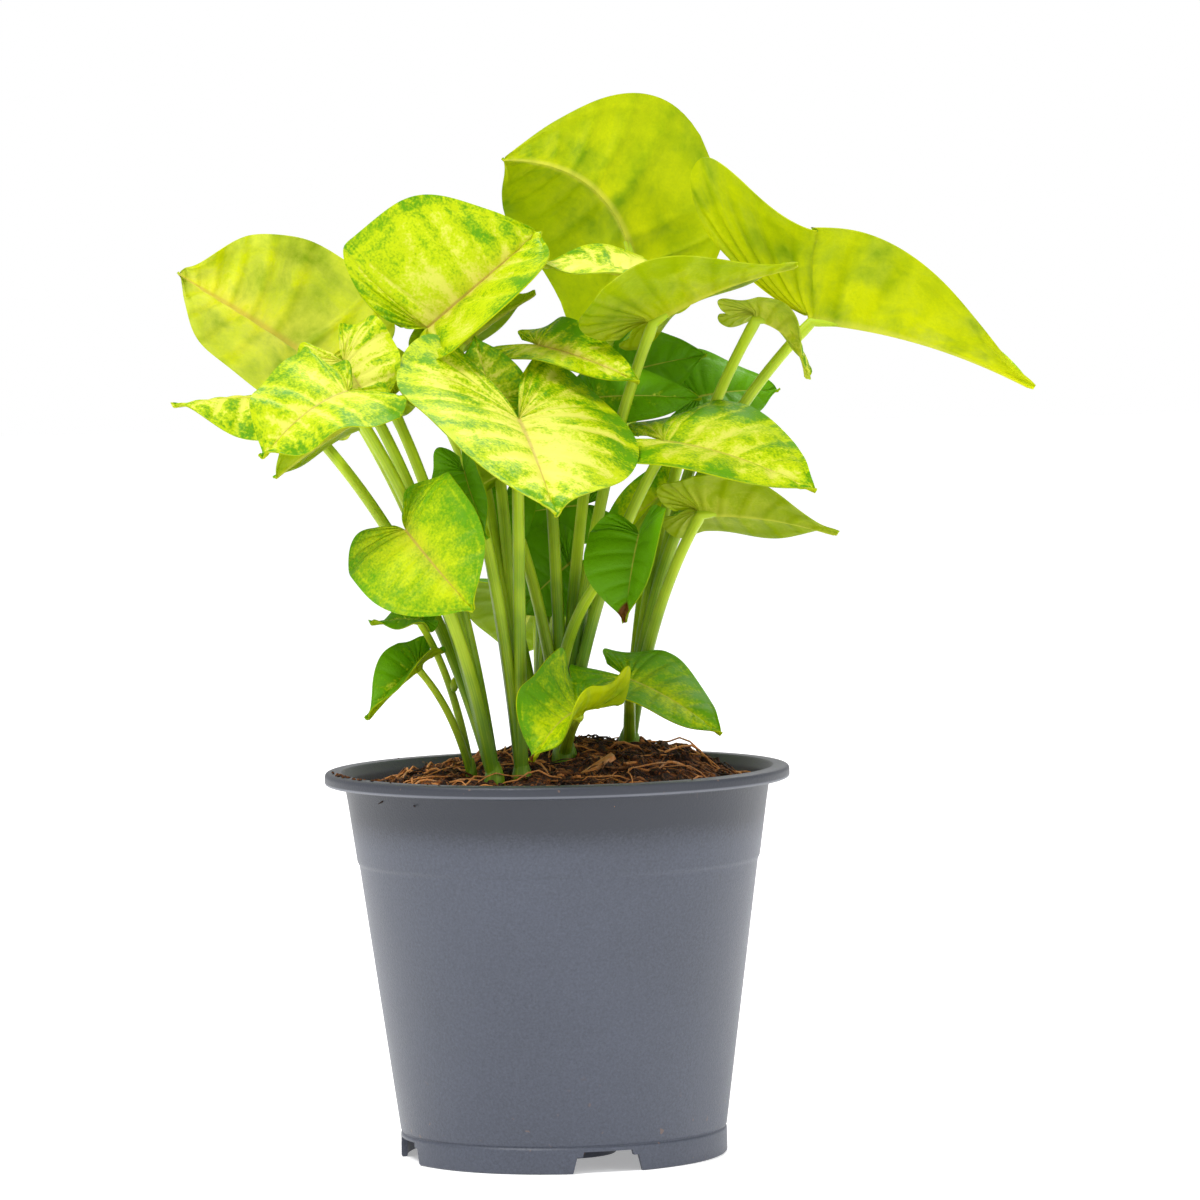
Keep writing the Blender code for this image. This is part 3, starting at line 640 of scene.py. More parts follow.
def leaf_pattern(shader):
    """The named parts of every blade's pattern, read from the blade's own coordinates and its look."""
    place = shader.place()
    uv = shader.parts(shader.blade_uv())
    across = shader.math("MULTIPLY_ADD", uv[0], 2.0, -1.0)
    share = shader.math("ABSOLUTE", across)
    left = shader.math("GREATER_THAN", across, 0.0)
    phase = shader.math("MULTIPLY_ADD", uv[1], SIDE_VEINS, shader.times(left, 0.5))
    look = shader.node("ShaderNodeAttribute", attribute_name="look").outputs
    looks = shader.node("ShaderNodeSeparateColor", {0: look["Color"]}).outputs
    streak_at = {0: shader.times(share, 2.2), 1: shader.times(phase, 1.15), 2: left}
    streak_at = shader.node("ShaderNodeCombineXYZ", streak_at).outputs[0]
    own_streaks = shader.vector("MULTIPLY", look["Color"], (37.0, 53.0, 71.0))
    streak_at = shader.vector("ADD", streak_at, own_streaks)
    off_margin_vein = shader.math("ABSOLUTE", shader.minus(share, MARGIN_VEIN))
    off_margin_vein = shader.times(off_margin_vein, 30.0)
    p = {
        "share": share,
        "along": uv[1],
        "pale": looks[0],
        # The look's second value: how yellow a leaf's green is, and on the leaves deep in the cluster a low
        # value that paints shade.
        "age": looks[1],
        "rose": looks[2],
        "brown": look["Alpha"],
        "vein": shader.step(shader.math("PINGPONG", phase, 0.5), 0.26, 0.0),
        "streak": shader.noise(streak_at, 1.0, 5.0, 0.62, 0.6),
        "margin": shader.step(share, 0.78, 0.93),
        "margin_vein": shader.math("SUBTRACT", 1.0, off_margin_vein, clamp=True),
        "heart": shader.minus(1.0, share),
    }
    p |= {name: shader.noise(place, *settings) for name, settings in BLADE_NOISE.items()}
    p["pale_vein"] = shader.times(p["vein"], p["pale"])
    mottle = shader.weighed(p, base=-4.8, streak=4.4, patch=1.8, net=1.9, speckle=1.5)
    p["mottle"] = shader.times(mottle, shader.math("ADD", p["pale"], 0.35))
    p["creamy"] = shader.weighed(
        p, base=-1.86, pale=1.9, heart=1.0, pale_vein=0.95, margin_vein=0.30, mottle=1.0, margin=-0.65
    )
    return p


def blade_colours(shader, p):
    """Green and cream in streaks along the side veins, a tan or rose midrib, and a brown tip."""
    yellow = shader.weighed(p, base=-1.42, age=1.5, creamy=0.8, patch=0.9, speckle=0.5, margin=0.5)
    green = shader.mix(shader.step(yellow, -0.6, 0.6), DEEP_GREEN, LIGHT_GREEN)
    blade = shader.mix(shader.times(shader.step(p["creamy"], -0.15, 0.75), 0.9), green, CREAM)
    rib_colour = shader.mix(p["rose"], TAN, ROSE)
    rib = shader.times(shader.step(p["share"], 0.035, 0.008), 0.7)
    flush = shader.times(shader.step(p["share"], 0.30, 0.0), shader.times(p["rose"], 0.28))
    blade = shader.mix(shader.math("MAXIMUM", rib, flush), blade, rib_colour)
    scorched = shader.minus(shader.weighed(p, base=-0.08, brown=0.16, patch=0.12), p["along"])
    return shader.mix(shader.step(scorched, 0.0, 0.02), blade, BROWN)


def blade_top():
    shader = Shader("blade_upper_side")
    p = leaf_pattern(shader)
    colour = blade_colours(shader, p)
    rough = shader.math("MULTIPLY_ADD", p["net"], 0.2, 0.34)
    p["cells"] = shader.noise(shader.place(), 2400.0, 2.0, 0.6)
    normal = shader.bump(shader.weighed(p, net=0.6, cells=0.4, vein=-0.5), 0.45, 0.0008)
    shader.finish(base_color=colour, roughness=rough, normal=normal, specular_ior_level=0.18)
    return shader.glow(0.34, colour, normal)


def blade_under():
    """The dull underside: paler than the upper side, whose pattern shows faintly through."""
    shader = Shader("blade_underside")
    p = leaf_pattern(shader)
    plain = shader.mix(p["age"], UNDER_DARK, UNDER_GREEN)
    pale = shader.step(shader.weighed(p, base=-2.6, pale=1.5, streak=2.2, patch=1.3, vein=-0.5), -0.5, 0.8)
    plain = shader.mix(pale, plain, UNDER_PALE)
    colour = shader.mix(0.22, plain, blade_colours(shader, p))
    shade = shader.weighed(p, base=-1.85, vein=0.16, patch=2.2, streak=1.4, net=0.6)
    colour = shader.mix(shader.math("ADD", shade, 0.0, clamp=True), colour, UNDER_DARK)
    rib_colour = shader.mix(p["rose"], UNDER_PALE, ROSE)
    rib = shader.times(shader.step(p["share"], 0.04, 0.01), 0.5)
    colour = shader.mix(rib, colour, rib_colour)
    normal = shader.bump(shader.weighed(p, net=0.5, vein=0.7), 0.4, 0.0008)
    shader.finish(base_color=colour, roughness=0.55, normal=normal, specular_ior_level=0.12)
    return shader.glow(0.42, colour, normal)


def stalk_skin():
    shader = Shader("stalk_skin")
    uv = shader.blade_uv()
    stripes = shader.noise(shader.vector("MULTIPLY", uv, (34.0, 2.0, 1.0)), 1.0, 4.0, 0.6)
    blotch = shader.noise(shader.place(), 55.0, 2.0, 0.5)
    # The height term below makes each stalk paler towards its blade and darker towards its foot: painted
    # shade beneath the leaves.
    light = {"stripes": stripes, "blotch": blotch, "height": shader.parts(uv)[1]}
    light = shader.step(shader.weighed(light, base=-1.45, stripes=1.2, blotch=1.4, height=1.0), -0.3, 0.9)
    return shader.finish(
        base_color=shader.mix(light, STALK_GREEN, STALK_PALE), roughness=0.38,
        normal=shader.bump(stripes, 0.35, 0.0004), subsurface_weight=0.12, subsurface_scale=0.002,
        specular_ior_level=0.25,
    )


def soil_look(name, low, high, scale):
    shader = Shader(name)
    grains = shader.noise(shader.place(), scale, 5.0, 0.7)
    fine = shader.noise(shader.place(), scale * 4.5, 3.0, 0.65)
    light = shader.weighed({"grains": grains, "fine": fine}, base=-1.25, grains=1.6, fine=1.2)
    normal = shader.bump(fine, 0.9, 0.0012)
    colour = shader.mix(shader.step(light, 0.0, 0.8), low, high)
    return shader.finish(base_color=colour, roughness=0.95, normal=normal)


def pot_plastic():
    """Grey plastic with a fine grain: painted shade under the rim, a painted highlight along the lip's lower
    edge, dusty at foot and rim.
    """
    shader = Shader("moulded_plastic")
    place = shader.place()
    height = shader.parts(place)[2]
    grain = shader.noise(place, 1500.0, 3.0, 0.7)
    cloud = shader.noise(place, 28.0, 3.0, 0.5)
    # The band just below the rim is made darker: painted shade under the rim's overhang.
    tone_and_painted_shade = {"grain": grain, "cloud": cloud, "under_rim": shader.step(height, 0.080, 0.0955)}
    tone_and_painted_shade = shader.weighed(tone_and_painted_shade, base=-0.14, grain=1.1, cloud=0.35, under_rim=-1.1)
    dark, light = (tuple(share * part for part in PLASTIC) for share in (0.48, 1.42))
    colour = shader.mix(shader.math("ADD", tone_and_painted_shade, 0.0, clamp=True), dark, light)
    radius = shader.vector("LENGTH", shader.vector("MULTIPLY", place, (1.0, 1.0, 0.0)))
    # A pale, broken line on the lip's lower edge: a painted highlight.
    from_lip = shader.minus(height, (POT_HEIGHT - RIM_LIP + LIP_EDGE) * MM)
    on_lip = shader.step(shader.math("ABSOLUTE", from_lip), 0.0005, 0.0001)
    on_lip = shader.times(on_lip, shader.step(radius, 0.0588, 0.0592))
    lip_highlight = shader.times(on_lip, shader.math("ADD", cloud, 0.25))
    colour = shader.mix(lip_highlight, colour, PAINTED_LIP_HIGHLIGHT)
    dusty = shader.math("MAXIMUM", shader.step(height, 0.030, 0.004), shader.step(height, 0.094, 0.099))
    specks = shader.step(shader.noise(place, 420.0, 2.0, 0.5), 0.70, 0.76)
    colour = shader.mix(shader.times(shader.times(specks, dusty), 0.55), colour, DUST)
    rough = shader.math("MULTIPLY_ADD", cloud, 0.16, 0.36)
    normal = shader.bump(grain, 0.40, 0.0003)
    return shader.finish(base_color=colour, roughness=rough, normal=normal, specular_ior_level=0.45)


# Making pieces


def linked(name, data):
    """A new object in the scene that holds this mesh, camera or light."""
    made = bpy.data.objects.new(name, data)
    bpy.context.scene.collection.objects.link(made)
    return made


@contextmanager
def editing(mesh):
    """Opens a mesh as a bmesh, and writes it back."""
    shape = bmesh.new()
    shape.from_mesh(mesh)
    yield shape
    shape.to_mesh(mesh)
    shape.free()


def drop_slivers(piece):
    """Merges the points that meet at each tip, and drops faces with no area."""
    with editing(piece.data) as shape:
        bmesh.ops.remove_doubles(shape, verts=shape.verts, dist=MERGE_DISTANCE)
        bmesh.ops.dissolve_degenerate(shape, edges=shape.edges, dist=NO_LENGTH)


class Build:
    """Collects the points and faces of one piece: points in millimetres, and a material for each face."""

    def __init__(self):
        self.points, self.faces, self.marks, self.uv, self.look = [], [], [], [], []

    def add(self, points, faces, marks=(), uv=(), look=None):
        start = len(self.points)
        self.points.extend(tuple(point) for point in points)
        self.faces.extend(tuple(corner + start for corner in face) for face in faces)
        self.marks.extend(marks)
        self.uv.extend(tuple(place) for place in uv)
        if look:
            self.look.extend([look] * len(points))

    def piece(self, name, materials, smooth=True):
        mesh = bpy.data.meshes.new(name)
        mesh.from_pydata([tuple(point) for point in np.array(self.points) * MM], [], self.faces)
        for made in materials:
            mesh.materials.append(made)
        if self.marks:
            mesh.polygons.foreach_set("material_index", np.array(self.marks, dtype=np.int32))
        if self.uv:
            corners = np.empty(len(mesh.loops), dtype=np.int32)
            mesh.loops.foreach_get("vertex_index", corners)
            layer = mesh.uv_layers.new(name="blade")
            layer.data.foreach_set("uv", np.array(self.uv, dtype=np.float32)[corners].ravel())
        if self.look:
            attribute = mesh.color_attributes.new("look", "FLOAT_COLOR", "POINT")
            attribute.data.foreach_set("color", np.array(self.look, dtype=np.float32).ravel())
        if smooth:
            mesh.shade_smooth()
        return linked(name, mesh)


def settle(piece, slot, *nodes):
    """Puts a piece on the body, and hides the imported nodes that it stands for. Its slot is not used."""
    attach(piece, "root")
    if nodes:
        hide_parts(*nodes)


def circle(radius, height, sides):
    """The points of a level ring."""
    angles = [math.tau * side / sides for side in range(sides)]
    return [(radius * math.cos(angle), radius * math.sin(angle), height) for angle in angles]


def between_rings(rings, sides):
    """The faces that join each ring of points to the next."""
    faces = []
    for start in range(0, (rings - 1) * sides, sides):
        for side in range(sides):
            a, b = start + side, start + (side + 1) % sides
            faces.append((a, a + sides, b + sides, b))
    return faces


# Leaves


def blade_grid(form):
    """The upper side's points, row by row from the tip, with (across, along) for each."""
    points, places = [], []
    for row in range(FINE_ROWS + 1):
        along = row / FINE_ROWS
        for column in range(-FINE_COLUMNS, FINE_COLUMNS + 1):
            across = math.copysign((abs(column) / FINE_COLUMNS) ** COLUMN_CROWDING, column)
            points.append(form.blade(across, along))
            places.append((across, along))
    shape = (FINE_ROWS + 1, 2 * FINE_COLUMNS + 1)
    return np.array(points).reshape(*shape, 3), np.array(places).reshape(*shape, 2)


def grid_normals(grid, up):
    """Unit normals of a grid of points, on the side the leaf faces."""
    normals = np.cross(np.gradient(grid, axis=0), np.gradient(grid, axis=1))
    normals /= np.maximum(np.linalg.norm(normals, axis=2, keepdims=True), 1e-9)
    return -normals if np.mean(normals @ up) < 0.0 else normals


def relief(leaf, across, along):
    """How high the blade stands at each place: it swells between its side veins."""
    share = np.abs(across)
    phase = along * SIDE_VEINS + np.where(across > 0.0, 0.5, 0.0)
    off_vein = np.abs(phase - np.round(phase)) * 2.0
    swell = off_vein**BULGE_ROUNDNESS * np.sin(np.pi * np.clip(share, 0.0, 1.0) ** BULGE_OUTWARD)
    groove = MARGIN_VEIN_DEPTH * np.exp(-(((share - MARGIN_VEIN) / MARGIN_VEIN_WIDTH) ** 2))
    return BULGE * min(1.0, leaf.width / BULGE_FULL_WIDTH) * (swell - groove)


def add_blade(build, form):
    """One blade, closed: upper side, underside with its midrib ridge, and the thin edge between them."""
    grid, places = blade_grid(form)
    up = np.array(form.up)
    across, along = places[..., 0], places[..., 1]
    normals = grid_normals(grid, up)
    top = grid + normals * relief(form.leaf, across, along)[..., None]
    from_midrib = np.linalg.norm(grid - grid[:, FINE_COLUMNS : FINE_COLUMNS + 1], axis=2)
    foot = np.array([through(OUTLINE, value)[2] for value in along[:, 0]])
    depth = np.maximum(0.0, 1.0 - foot / RIDGE_REACH) ** RIDGE_TAPER * form.leaf.stalk * RIDGE_DEPTH
    ridge = depth[:, None] * np.exp(-((from_midrib / RIDGE_WIDTH) ** 2))
    thickness = FINE_BLADE_THICKNESS * (1.0 - MARGIN_THINNING * np.abs(across)) + ridge
    under = top - normals * thickness[..., None]
    rows, columns = grid.shape[:2]
    first = rows * columns
    corner, beside, below = grid[1, 1], grid[1, 2], grid[2, 1]
    turned_over = np.dot(np.cross(below - corner, beside - corner), up) < 0.0
    faces, marks = [], []
    for row in range(rows - 1):
        for column in range(columns - 1):
            a = row * columns + column
            corners = (a, a + columns, a + columns + 1, a + 1)
            if turned_over:
                corners = corners[::-1]
            faces += [corners, tuple(first + corner for corner in corners[::-1])]
            marks += [0, 1]
    rim = [row * columns for row in range(rows)]
    rim += [(rows - 1) * columns + column for column in range(1, columns)]
    rim += [row * columns + columns - 1 for row in range(rows - 2, -1, -1)]
    for a, b in zip(rim, rim[1:]):
        corners = (a, b, b + first, a + first)
        faces.append(corners if turned_over else corners[::-1])
        marks.append(1)
    uv = np.stack([(across + 1.0) / 2.0, along], axis=-1).reshape(-1, 2)
    points = np.concatenate([top.reshape(-1, 3), under.reshape(-1, 3)])
    build.add(points, faces, marks, np.concatenate([uv, uv]), LOOKS[form.leaf.name])


def tube(path, radii, sides, wings=None):
    """Points, faces and (round, along) of a closed tube along a path."""
    path = [Vector(p) for p in path]
    points, places = [], []
    side = Vector((0.0, 0.0, 1.0)).orthogonal()
    for index, place in enumerate(path):
        ahead = (path[min(index + 1, len(path) - 1)] - path[max(index - 1, 0)]).normalized()
        side = (side - ahead * side.dot(ahead)).normalized()
        up = ahead.cross(side)
        for turn in range(sides):
            angle = math.tau * turn / sides
            wing = 1.0 + (wings[index] if wings else 0.0) * abs(math.cos(angle)) ** WING_SHARPNESS
            radius = radii[index] * wing
            points.append(place + side * (radius * math.cos(angle)) + up * (radius * math.sin(angle)))
            places.append((turn / sides, index / (len(path) - 1)))
    faces = [(a, d, c, b) for a, b, c, d in between_rings(len(path), sides)]
    faces.append(tuple(range(sides))[::-1])
    faces.append(tuple(range(len(points) - sides, len(points))))
    return points, faces, places


def add_stalk(build, form, crown):
    """The stalk: sheathed in its lower part, round above, and running out under the blade."""
    leaf = form.leaf
    path = form.stalk_path(crown, STALK_RINGS)
    radii, wings = [], []
    for index in range(len(path)):
        share = index / STALK_RINGS
        neck = 1.0 + NECK_SWELL * math.exp(-(((share - NECK_PLACE) / NECK_LENGTH) ** 2))
        radii.append(leaf.stalk * (STALK_FOOT + (1.0 - STALK_FOOT) * share**STALK_THINNING) * neck)
        wings.append(SHEATH_WING * max(0.0, 1.0 - share / SHEATH_END) ** SHEATH_FADE)
    for step in range(1, TAPER_RINGS):
        share = step / TAPER_RINGS
        below = leaf.stalk * (STALK_TUCK - TAPER_RISE * share)
        path.append(form.midrib(STALK_REACH + TAPER_RUN * share, below))
        radii.append(leaf.stalk * (1.0 - TAPER * share))
        wings.append(0.0)
    points, faces, places = tube(path, radii, STALK_SIDES, wings)
    build.add(points, faces, [2] * len(faces), places, LOOKS[leaf.name])


def add_crown(build, crown, radius):
    """The short crown that the stalks grow from, down in its hole."""
    ground = soil_top(*crown)
    path, radii = [], []
    for share in np.linspace(0.0, 1.0, FINE_CROWN_RINGS):
        path.append((*crown, ground + share * CROWN_HEIGHT + (1.0 - share) * (HOLE_GAP - HOLE_DEPTH)))
        past_shoulder = max(0.0, share - CROWN_SHOULDER) / (1.0 - CROWN_SHOULDER)
        radii.append(radius * (1.0 - CROWN_TAPER * past_shoulder**2))
    points, faces, places = tube(path, radii, FINE_CROWN_SIDES)
    # Keeping along low also gives the crown the dark end of the stalks' painted shade.
    places = [(u, v * CROWN_STRIPES) for u, v in places]
    build.add(points, faces, [2] * len(faces), places, CROWN_LOOK)


def make_shoots(materials):
    for name, (crown, radius, leaves) in SHOOTS.items():
        build = Build()
        add_crown(build, crown, radius)
        for leaf in leaves:
            form = Form(leaf)
            add_blade(build, form)
            add_stalk(build, form, crown)
        piece = build.piece(name + "_leaves", materials)
        drop_slivers(piece)
        piece.data.set_sharp_from_angle(angle=math.radians(LEAF_CREASE))
        settle(piece, "leaves", name)


def make_bud(skin):
    """A small bud on one of the thin stalks at the left."""
    path = [BUD_PLACE + Vector((0.0, 0.0, height)) for height in BUD_HEIGHTS]
    points, faces, places = tube(path, BUD_RADII, STALK_SIDES)
    build = Build()
    build.add(points, faces, uv=places)
    settle(build.piece("small_bud", [skin]), "leaves")


# Pot


def rounded(profile):
    """The profile with each corner turned into a short arc, so that moulded edges catch the light."""
    points = []
    for index, here in enumerate(profile):
        corner = Vector(here)
        a = Vector(profile[index - 1]) - corner
        b = Vector(profile[(index + 1) % len(profile)]) - corner
        if here[0] == 0.0 or a.angle(b) > math.radians(NEARLY_STRAIGHT):
            points.append(here)
            continue
        reach = min(CORNER_REACH, a.length * CORNER_SHARE, b.length * CORNER_SHARE)
        start = corner + a.normalized() * reach
        end = corner + b.normalized() * reach
        for step in range(CORNER_STEPS + 1):
            s = step / CORNER_STEPS
            points.append(tuple((1 - s) ** 2 * start + 2 * s * (1 - s) * corner + s**2 * end))
    return points


def make_pot(plastic):
    profile = rounded(pot_outside() + pot_inside())
    centre = next(i for i, point in enumerate(profile) if point[0] == 0.0)
    rings = [point for point in profile[centre:] + profile[:centre] if point[0] > 0.0]
    points = [point for radius, height in rings for point in circle(radius, height, FINE_POT_SIDES)]
    faces = between_rings(len(rings), FINE_POT_SIDES)
    faces.append(tuple(range(FINE_POT_SIDES)))
    faces.append(tuple(range(len(points) - FINE_POT_SIDES, len(points)))[::-1])
    build = Build()
    build.add(points, faces)
    pot = build.piece("moulded_pot", [plastic])
    with editing(pot.data) as shape:
        bmesh.ops.recalc_face_normals(shape, faces=shape.faces)
    cutters = [notch_cutter(number) for number in range(NOTCHES)]
    cutters += [drain_cutter(number) for number in range(DRAIN_HOLES)]
    for cutter in cutters:
        boolean = pot.modifiers.new("cut", "BOOLEAN")
        boolean.operation = "DIFFERENCE"
        boolean.object = cutter
    bpy.context.view_layer.update()
    mesh = bpy.data.meshes.new_from_object(pot.evaluated_get(bpy.context.evaluated_depsgraph_get()))
    pot.modifiers.clear()
    pot.data = mesh
    for cutter in cutters:
        bpy.data.objects.remove(cutter)
    mesh.shade_smooth()
    mesh.set_sharp_from_angle(angle=math.radians(POT_CREASE))
    settle(pot, "pot_plastic", "pot")


def notch_cutter(number):
    """A tapered block with two rounded upper corners, which opens the foot ring."""
    mesh = bpy.data.meshes.new("notch_cutter")
    with editing(mesh) as shape:
        bmesh.ops.create_cube(shape, size=1.0)
        for vertex in shape.verts:
            width = NOTCH_TOP_WIDTH if vertex.co.z > 0 else NOTCH_WIDTH
            height = NOTCH_HEIGHT if vertex.co.z > 0 else -FOOT_EDGE
            from_axis = FOOT_RADIUS - FOOT_WALL / 2 + vertex.co.x * NOTCH_REACH
            vertex.co = mm(from_axis, vertex.co.y * width, height)
        upper = [edge for edge in shape.edges if min(vertex.co.z for vertex in edge.verts) > 0]
        corners = [edge for edge in upper if edge.verts[0].co.y == edge.verts[1].co.y]
        offset = NOTCH_CORNER * MM
        bmesh.ops.bevel(shape, geom=corners, offset=offset, segments=NOTCH_CORNER_STEPS, affect="EDGES")
    cutter = linked("notch_cutter", mesh)
    cutter.rotation_euler.z = math.radians(FIRST_NOTCH_ANGLE + 360.0 / NOTCHES * number)
    return cutter


def drain_cutter(number):
    mesh = bpy.data.meshes.new("drain_cutter")
    radius, depth = DRAIN_RADIUS * MM, DRAIN_CUT * MM
    with editing(mesh) as shape:
        bmesh.ops.create_cone(
            shape, cap_ends=True, segments=DRAIN_SIDES, radius1=radius, radius2=radius, depth=depth
        )
    angle = math.tau * (number + 0.5) / DRAIN_HOLES
    cutter = linked("drain_cutter", mesh)
    cutter.location = mm(DRAIN_CIRCLE * math.cos(angle), DRAIN_CIRCLE * math.sin(angle), DRAIN_CUT_MIDDLE)
    return cutter


# Soil


def soil_height(x, y):
    """The packed soil's surface with finer lumps and pits on it, which fade towards the wall."""
    slope, least = ROUGH_FROM_WALL
    share = min(1.0, (1.0 - math.hypot(x, y) / SOIL_RADIUS) * slope + least)
    lumps = FINE_LUMP[0] * noise.fractal(Vector((x, y, 3.0)) / FINE_LUMP[1], 1.0, 2.0, 4)
    pits = FINE_PIT[0] * noise.noise(Vector((x, y, 9.0)) / FINE_PIT[1])
    return soil_top(x, y) + share * (lumps + pits)


def make_soil(peat):
    """The soil's fine surface on a plain plug that fills the pot."""
    points = []
    for step in range(SOIL_STEPS + 1):
        radius = (SOIL_RADIUS + SOIL_PAST_WALL) * (step / SOIL_STEPS) ** SOIL_CROWDING
        points += [(x, y, soil_height(x, y)) for x, y, _ in circle(radius, 0.0, SOIL_TURNS)]
    floor = FOOT_HEIGHT + BASE_THICKNESS + SOIL_GAP
    for radius, height in reversed(pot_inside()[SOIL_WALL]):
        points += circle(radius - SOIL_GAP, max(height, floor), SOIL_TURNS)
    faces = between_rings(len(points) // SOIL_TURNS, SOIL_TURNS)
    faces.append(tuple(range(len(points) - SOIL_TURNS, len(points)))[::-1])
    build = Build()
    build.add(points, faces)
    soil = build.piece("peat_surface", [peat])
    drop_slivers(soil)
    settle(soil, "peat", "soil")


def free_spot(draw, reach):
    """A random place on the soil, outside the crowns."""
    while True:
        radius, angle = reach * math.sqrt(draw.random()), math.tau * draw.random()
        x, y = radius * math.cos(angle), radius * math.sin(angle)
        shoots = SHOOTS.values()
        if all(math.dist((x, y), crown) > size + CLEAR_OF_CROWN for crown, size, _ in shoots):
            return x, y


def make_crumbs(peat):
    """Crumbs of peat, pressed a little into the surface."""
    draw = random.Random(11)
    shape = bmesh.new()
    bmesh.ops.create_icosphere(shape, subdivisions=1, radius=1.0)
    ball = np.array([tuple(vertex.co) for vertex in shape.verts])
    faces = [tuple(vertex.index for vertex in face.verts) for face in shape.faces]
    shape.free()
    build = Build()
    for number in range(CRUMBS):
        x, y = free_spot(draw, 51.0)
        size = 0.5 + 1.5 * draw.random() ** 3
        turn = Matrix.Rotation(math.tau * draw.random(), 3, (draw.random(), draw.random(), 1.0))
        stretch = np.array([1.0 + 0.5 * draw.random(), 1.0, 0.6 + 0.3 * draw.random()])
        own = Vector((number, 0.0, 0.0))
        rough = np.array([1.0 + 0.35 * noise.noise(Vector(point) * 1.3 + own) for point in ball])
        spot = np.array([x, y, soil_height(x, y) + size * 0.15])
        build.add((ball * rough[:, None] * stretch * size) @ np.array(turn).T + spot, faces)
    settle(build.piece("peat_crumbs", [peat], smooth=False), "peat")


def strand(draw, x, y, length, lift):
    """A crooked line that lies on the soil, arching up by lift."""
    heading = math.tau * draw.random()
    bend = draw.uniform(-1.6, 1.6)
    path = []
    for step in range(STRAND_STEPS + 1):
        arch = lift * math.sin(math.pi * (step / STRAND_STEPS))
        path.append((x, y, soil_height(x, y) + 0.15 + arch + draw.uniform(-0.15, 0.15)))
        x += math.cos(heading) * length / STRAND_STEPS
        y += math.sin(heading) * length / STRAND_STEPS
        heading += bend / STRAND_STEPS + draw.uniform(-0.35, 0.35)
        if math.hypot(x, y) > STRAND_REACH:
            x, y = x * 0.97, y * 0.97
    return path


def make_fibres(name, material, count, seed, length, thickness, lift):
    """Loose strands on the soil. Length and thickness are each a least and a most."""
    draw = random.Random(seed)
    build = Build()
    for _ in range(count):
        x, y = free_spot(draw, 50.0)
        path = strand(draw, x, y, draw.uniform(*length), lift * draw.random())
        thick = draw.uniform(*thickness)
        from_middle = [abs(2.0 * step / STRAND_STEPS - 1.0) for step in range(STRAND_STEPS + 1)]
        radii = [thick * (1.0 - 0.6 * share**3) for share in from_middle]
        points, faces, _ = tube(path, radii, STRAND_SIDES)
        build.add(points, faces)
    settle(build.piece(name, [material]), "peat")


def sliver(place, length, width, turn, tilt):
    """The corners and faces of a flat splinter with tapered ends, laid on the soil."""
    half = (length / 2.0, width / 2.0, width / 5.0)
    corners = [
        Vector((sx * half[0] * (1.0 if sy > 0 else 0.8), sy * half[1], sz * half[2]))
        for sx in (-1, 1) for sy in (-1, 1) for sz in (-1, 1)
    ]
    turned_by = Matrix.Rotation(turn, 3, "Z") @ Matrix.Rotation(tilt, 3, "Y")
    base = Vector((*place, soil_height(*place) + half[2]))
    faces = [(0, 1, 3, 2), (4, 6, 7, 5), (0, 4, 5, 1), (2, 3, 7, 6), (0, 2, 6, 4), (1, 5, 7, 3)]
    return [turned_by @ corner + base for corner in corners], faces


def make_chips(wood):
    """Splinters of wood and bark on the soil, the largest in front of the right stalks."""
    draw = random.Random(31)
    build = Build()
    for chip in LARGE_CHIPS:
        build.add(*sliver(*chip))
    for _ in range(CHIPS):
        place = free_spot(draw, 49.0)
        length, width = draw.uniform(2.0, 5.0), draw.uniform(0.6, 1.5)
        turn, tilt = math.tau * draw.random(), draw.uniform(-0.3, 0.3)
        build.add(*sliver(place, length, width, turn, tilt))
    settle(build.piece("wood_chips", [wood], smooth=False), "peat")


def make_rim_dirt(peat):
    """Crumbs of soil that lie on the rim, most of them at the left."""
    draw = random.Random(41)
    build = Build()
    for number in range(RIM_CRUMBS):
        angle = math.radians(draw.gauss(196.0, 9.0) if number % 3 else draw.uniform(0.0, 360.0))
        radius = draw.uniform(RIM_MOUTH_RADIUS + 0.6, RIM_RADIUS - 1.4)
        size = draw.uniform(0.25, 0.6)
        place = Vector((radius * math.cos(angle), radius * math.sin(angle), POT_HEIGHT + size * 0.3))
        path = [place + Vector((0.0, 0.0, size * (share - 0.5))) for share in (0.0, 0.5, 1.0)]
        points, faces, _ = tube(path, [size * 0.5, size, size * 0.4], 6)
        build.add(points, faces)
    settle(build.piece("rim_crumbs", [peat], smooth=False), "peat")


# Stage


def make_camera():
    camera = linked("camera", bpy.data.cameras.new("camera"))
    camera.data.lens = CAMERA_LENS
    camera.data.sensor_width = SENSOR_WIDTH
    camera.data.clip_end = FARTHEST_SEEN
    camera.matrix_world = Matrix.Translation(mm(*CAMERA_PLACE))
    for angle, axis in ((-CAMERA_YAW, "Z"), (90.0 - CAMERA_PITCH, "X"), (CAMERA_ROLL, "Z")):
        camera.matrix_world @= Matrix.Rotation(math.radians(angle), 4, axis)
    bpy.context.scene.camera = camera


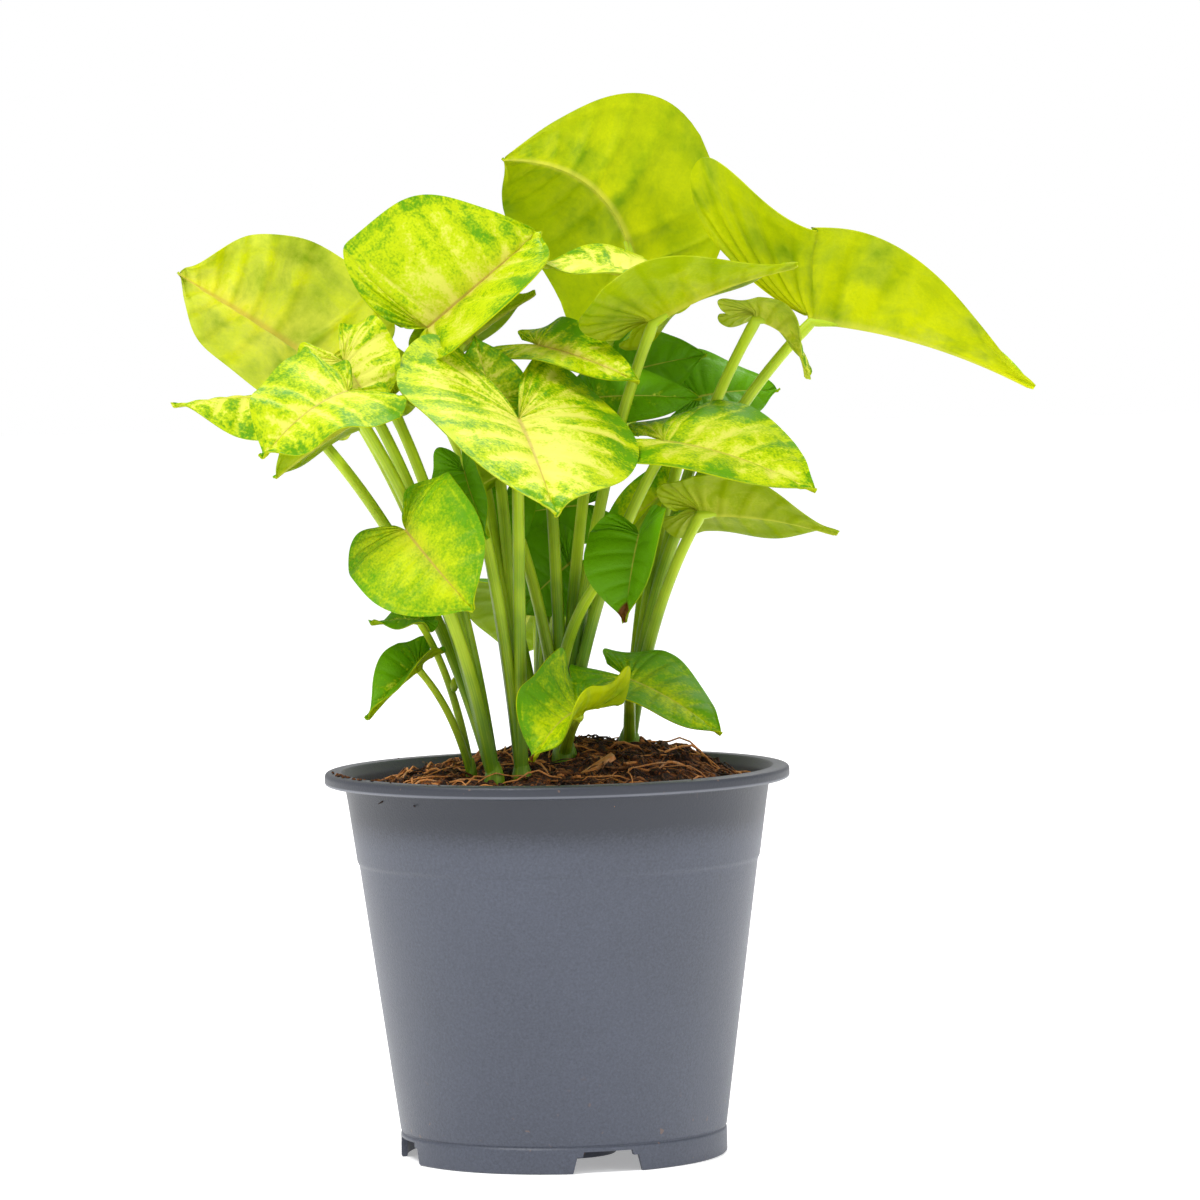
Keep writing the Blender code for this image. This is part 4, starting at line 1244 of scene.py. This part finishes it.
def make_lights():
    for name, (place, size, power) in LIGHTS.items():
        light = linked(name, bpy.data.lights.new(name, "AREA"))
        light.data.shape = "DISK"
        light.data.size = size
        light.data.energy = power
        light.location = place
        light.rotation_euler = (LIGHTS_AIM - Vector(place)).to_track_quat("-Z", "Y").to_euler()


def make_sky():
    """An even white sky, which the camera sees as pure white."""
    world = bpy.data.worlds.new("studio")
    world.use_nodes = True
    nodes, links = world.node_tree.nodes, world.node_tree.links
    sky = nodes["Background"]
    sky.inputs["Color"].default_value = (1.0, 1.0, 1.0, 1.0)
    strength = nodes.new("ShaderNodeMapRange")
    strength.inputs["To Min"].default_value = SKY_STRENGTH
    strength.inputs["To Max"].default_value = SKY_SEEN
    links.new(nodes.new("ShaderNodeLightPath").outputs["Is Camera Ray"], strength.inputs["Value"])
    links.new(strength.outputs["Result"], sky.inputs["Strength"])
    bpy.context.scene.world = world
    bpy.context.scene.view_settings.view_transform = "Standard"


def make_floor():
    shader = Shader("studio_white")
    shader.finish(base_color=(0.9, 0.9, 0.9), roughness=0.9)
    shader.finish(emission_color=(1.0, 1.0, 1.0), emission_strength=STAGE_GLOW)
    build = Build()
    build.add(circle(STAGE_RADIUS, 0.0, STAGE_SIDES), [range(STAGE_SIDES)])
    build.piece("floor", [shader.material])


def main():
    make_camera()
    make_sky()
    make_floor()
    make_lights()
    skin = stalk_skin()
    make_shoots([blade_top(), blade_under(), skin])
    make_bud(skin)
    make_pot(pot_plastic())
    peat = soil_look("dark_peat", PEAT, PEAT_LIGHT, 260.0)
    make_soil(peat)
    make_crumbs(soil_look("peat_crumb", PEAT, PEAT_LIGHT, 420.0))
    fibre = soil_look("fibre", PEAT, FIBRE, 120.0)
    make_fibres("brown_fibres", fibre, FIBRES, 21, length=(5.0, 18.0), thickness=(0.12, 0.32), lift=1.6)
    root = soil_look("pale_root", FIBRE, CHIP, 300.0)
    make_fibres("pale_roots", root, ROOTS, 22, length=(8.0, 26.0), thickness=(0.16, 0.34), lift=3.0)
    make_chips(soil_look("wood_chip", FIBRE, CHIP, 180.0))
    make_rim_dirt(peat)


main()
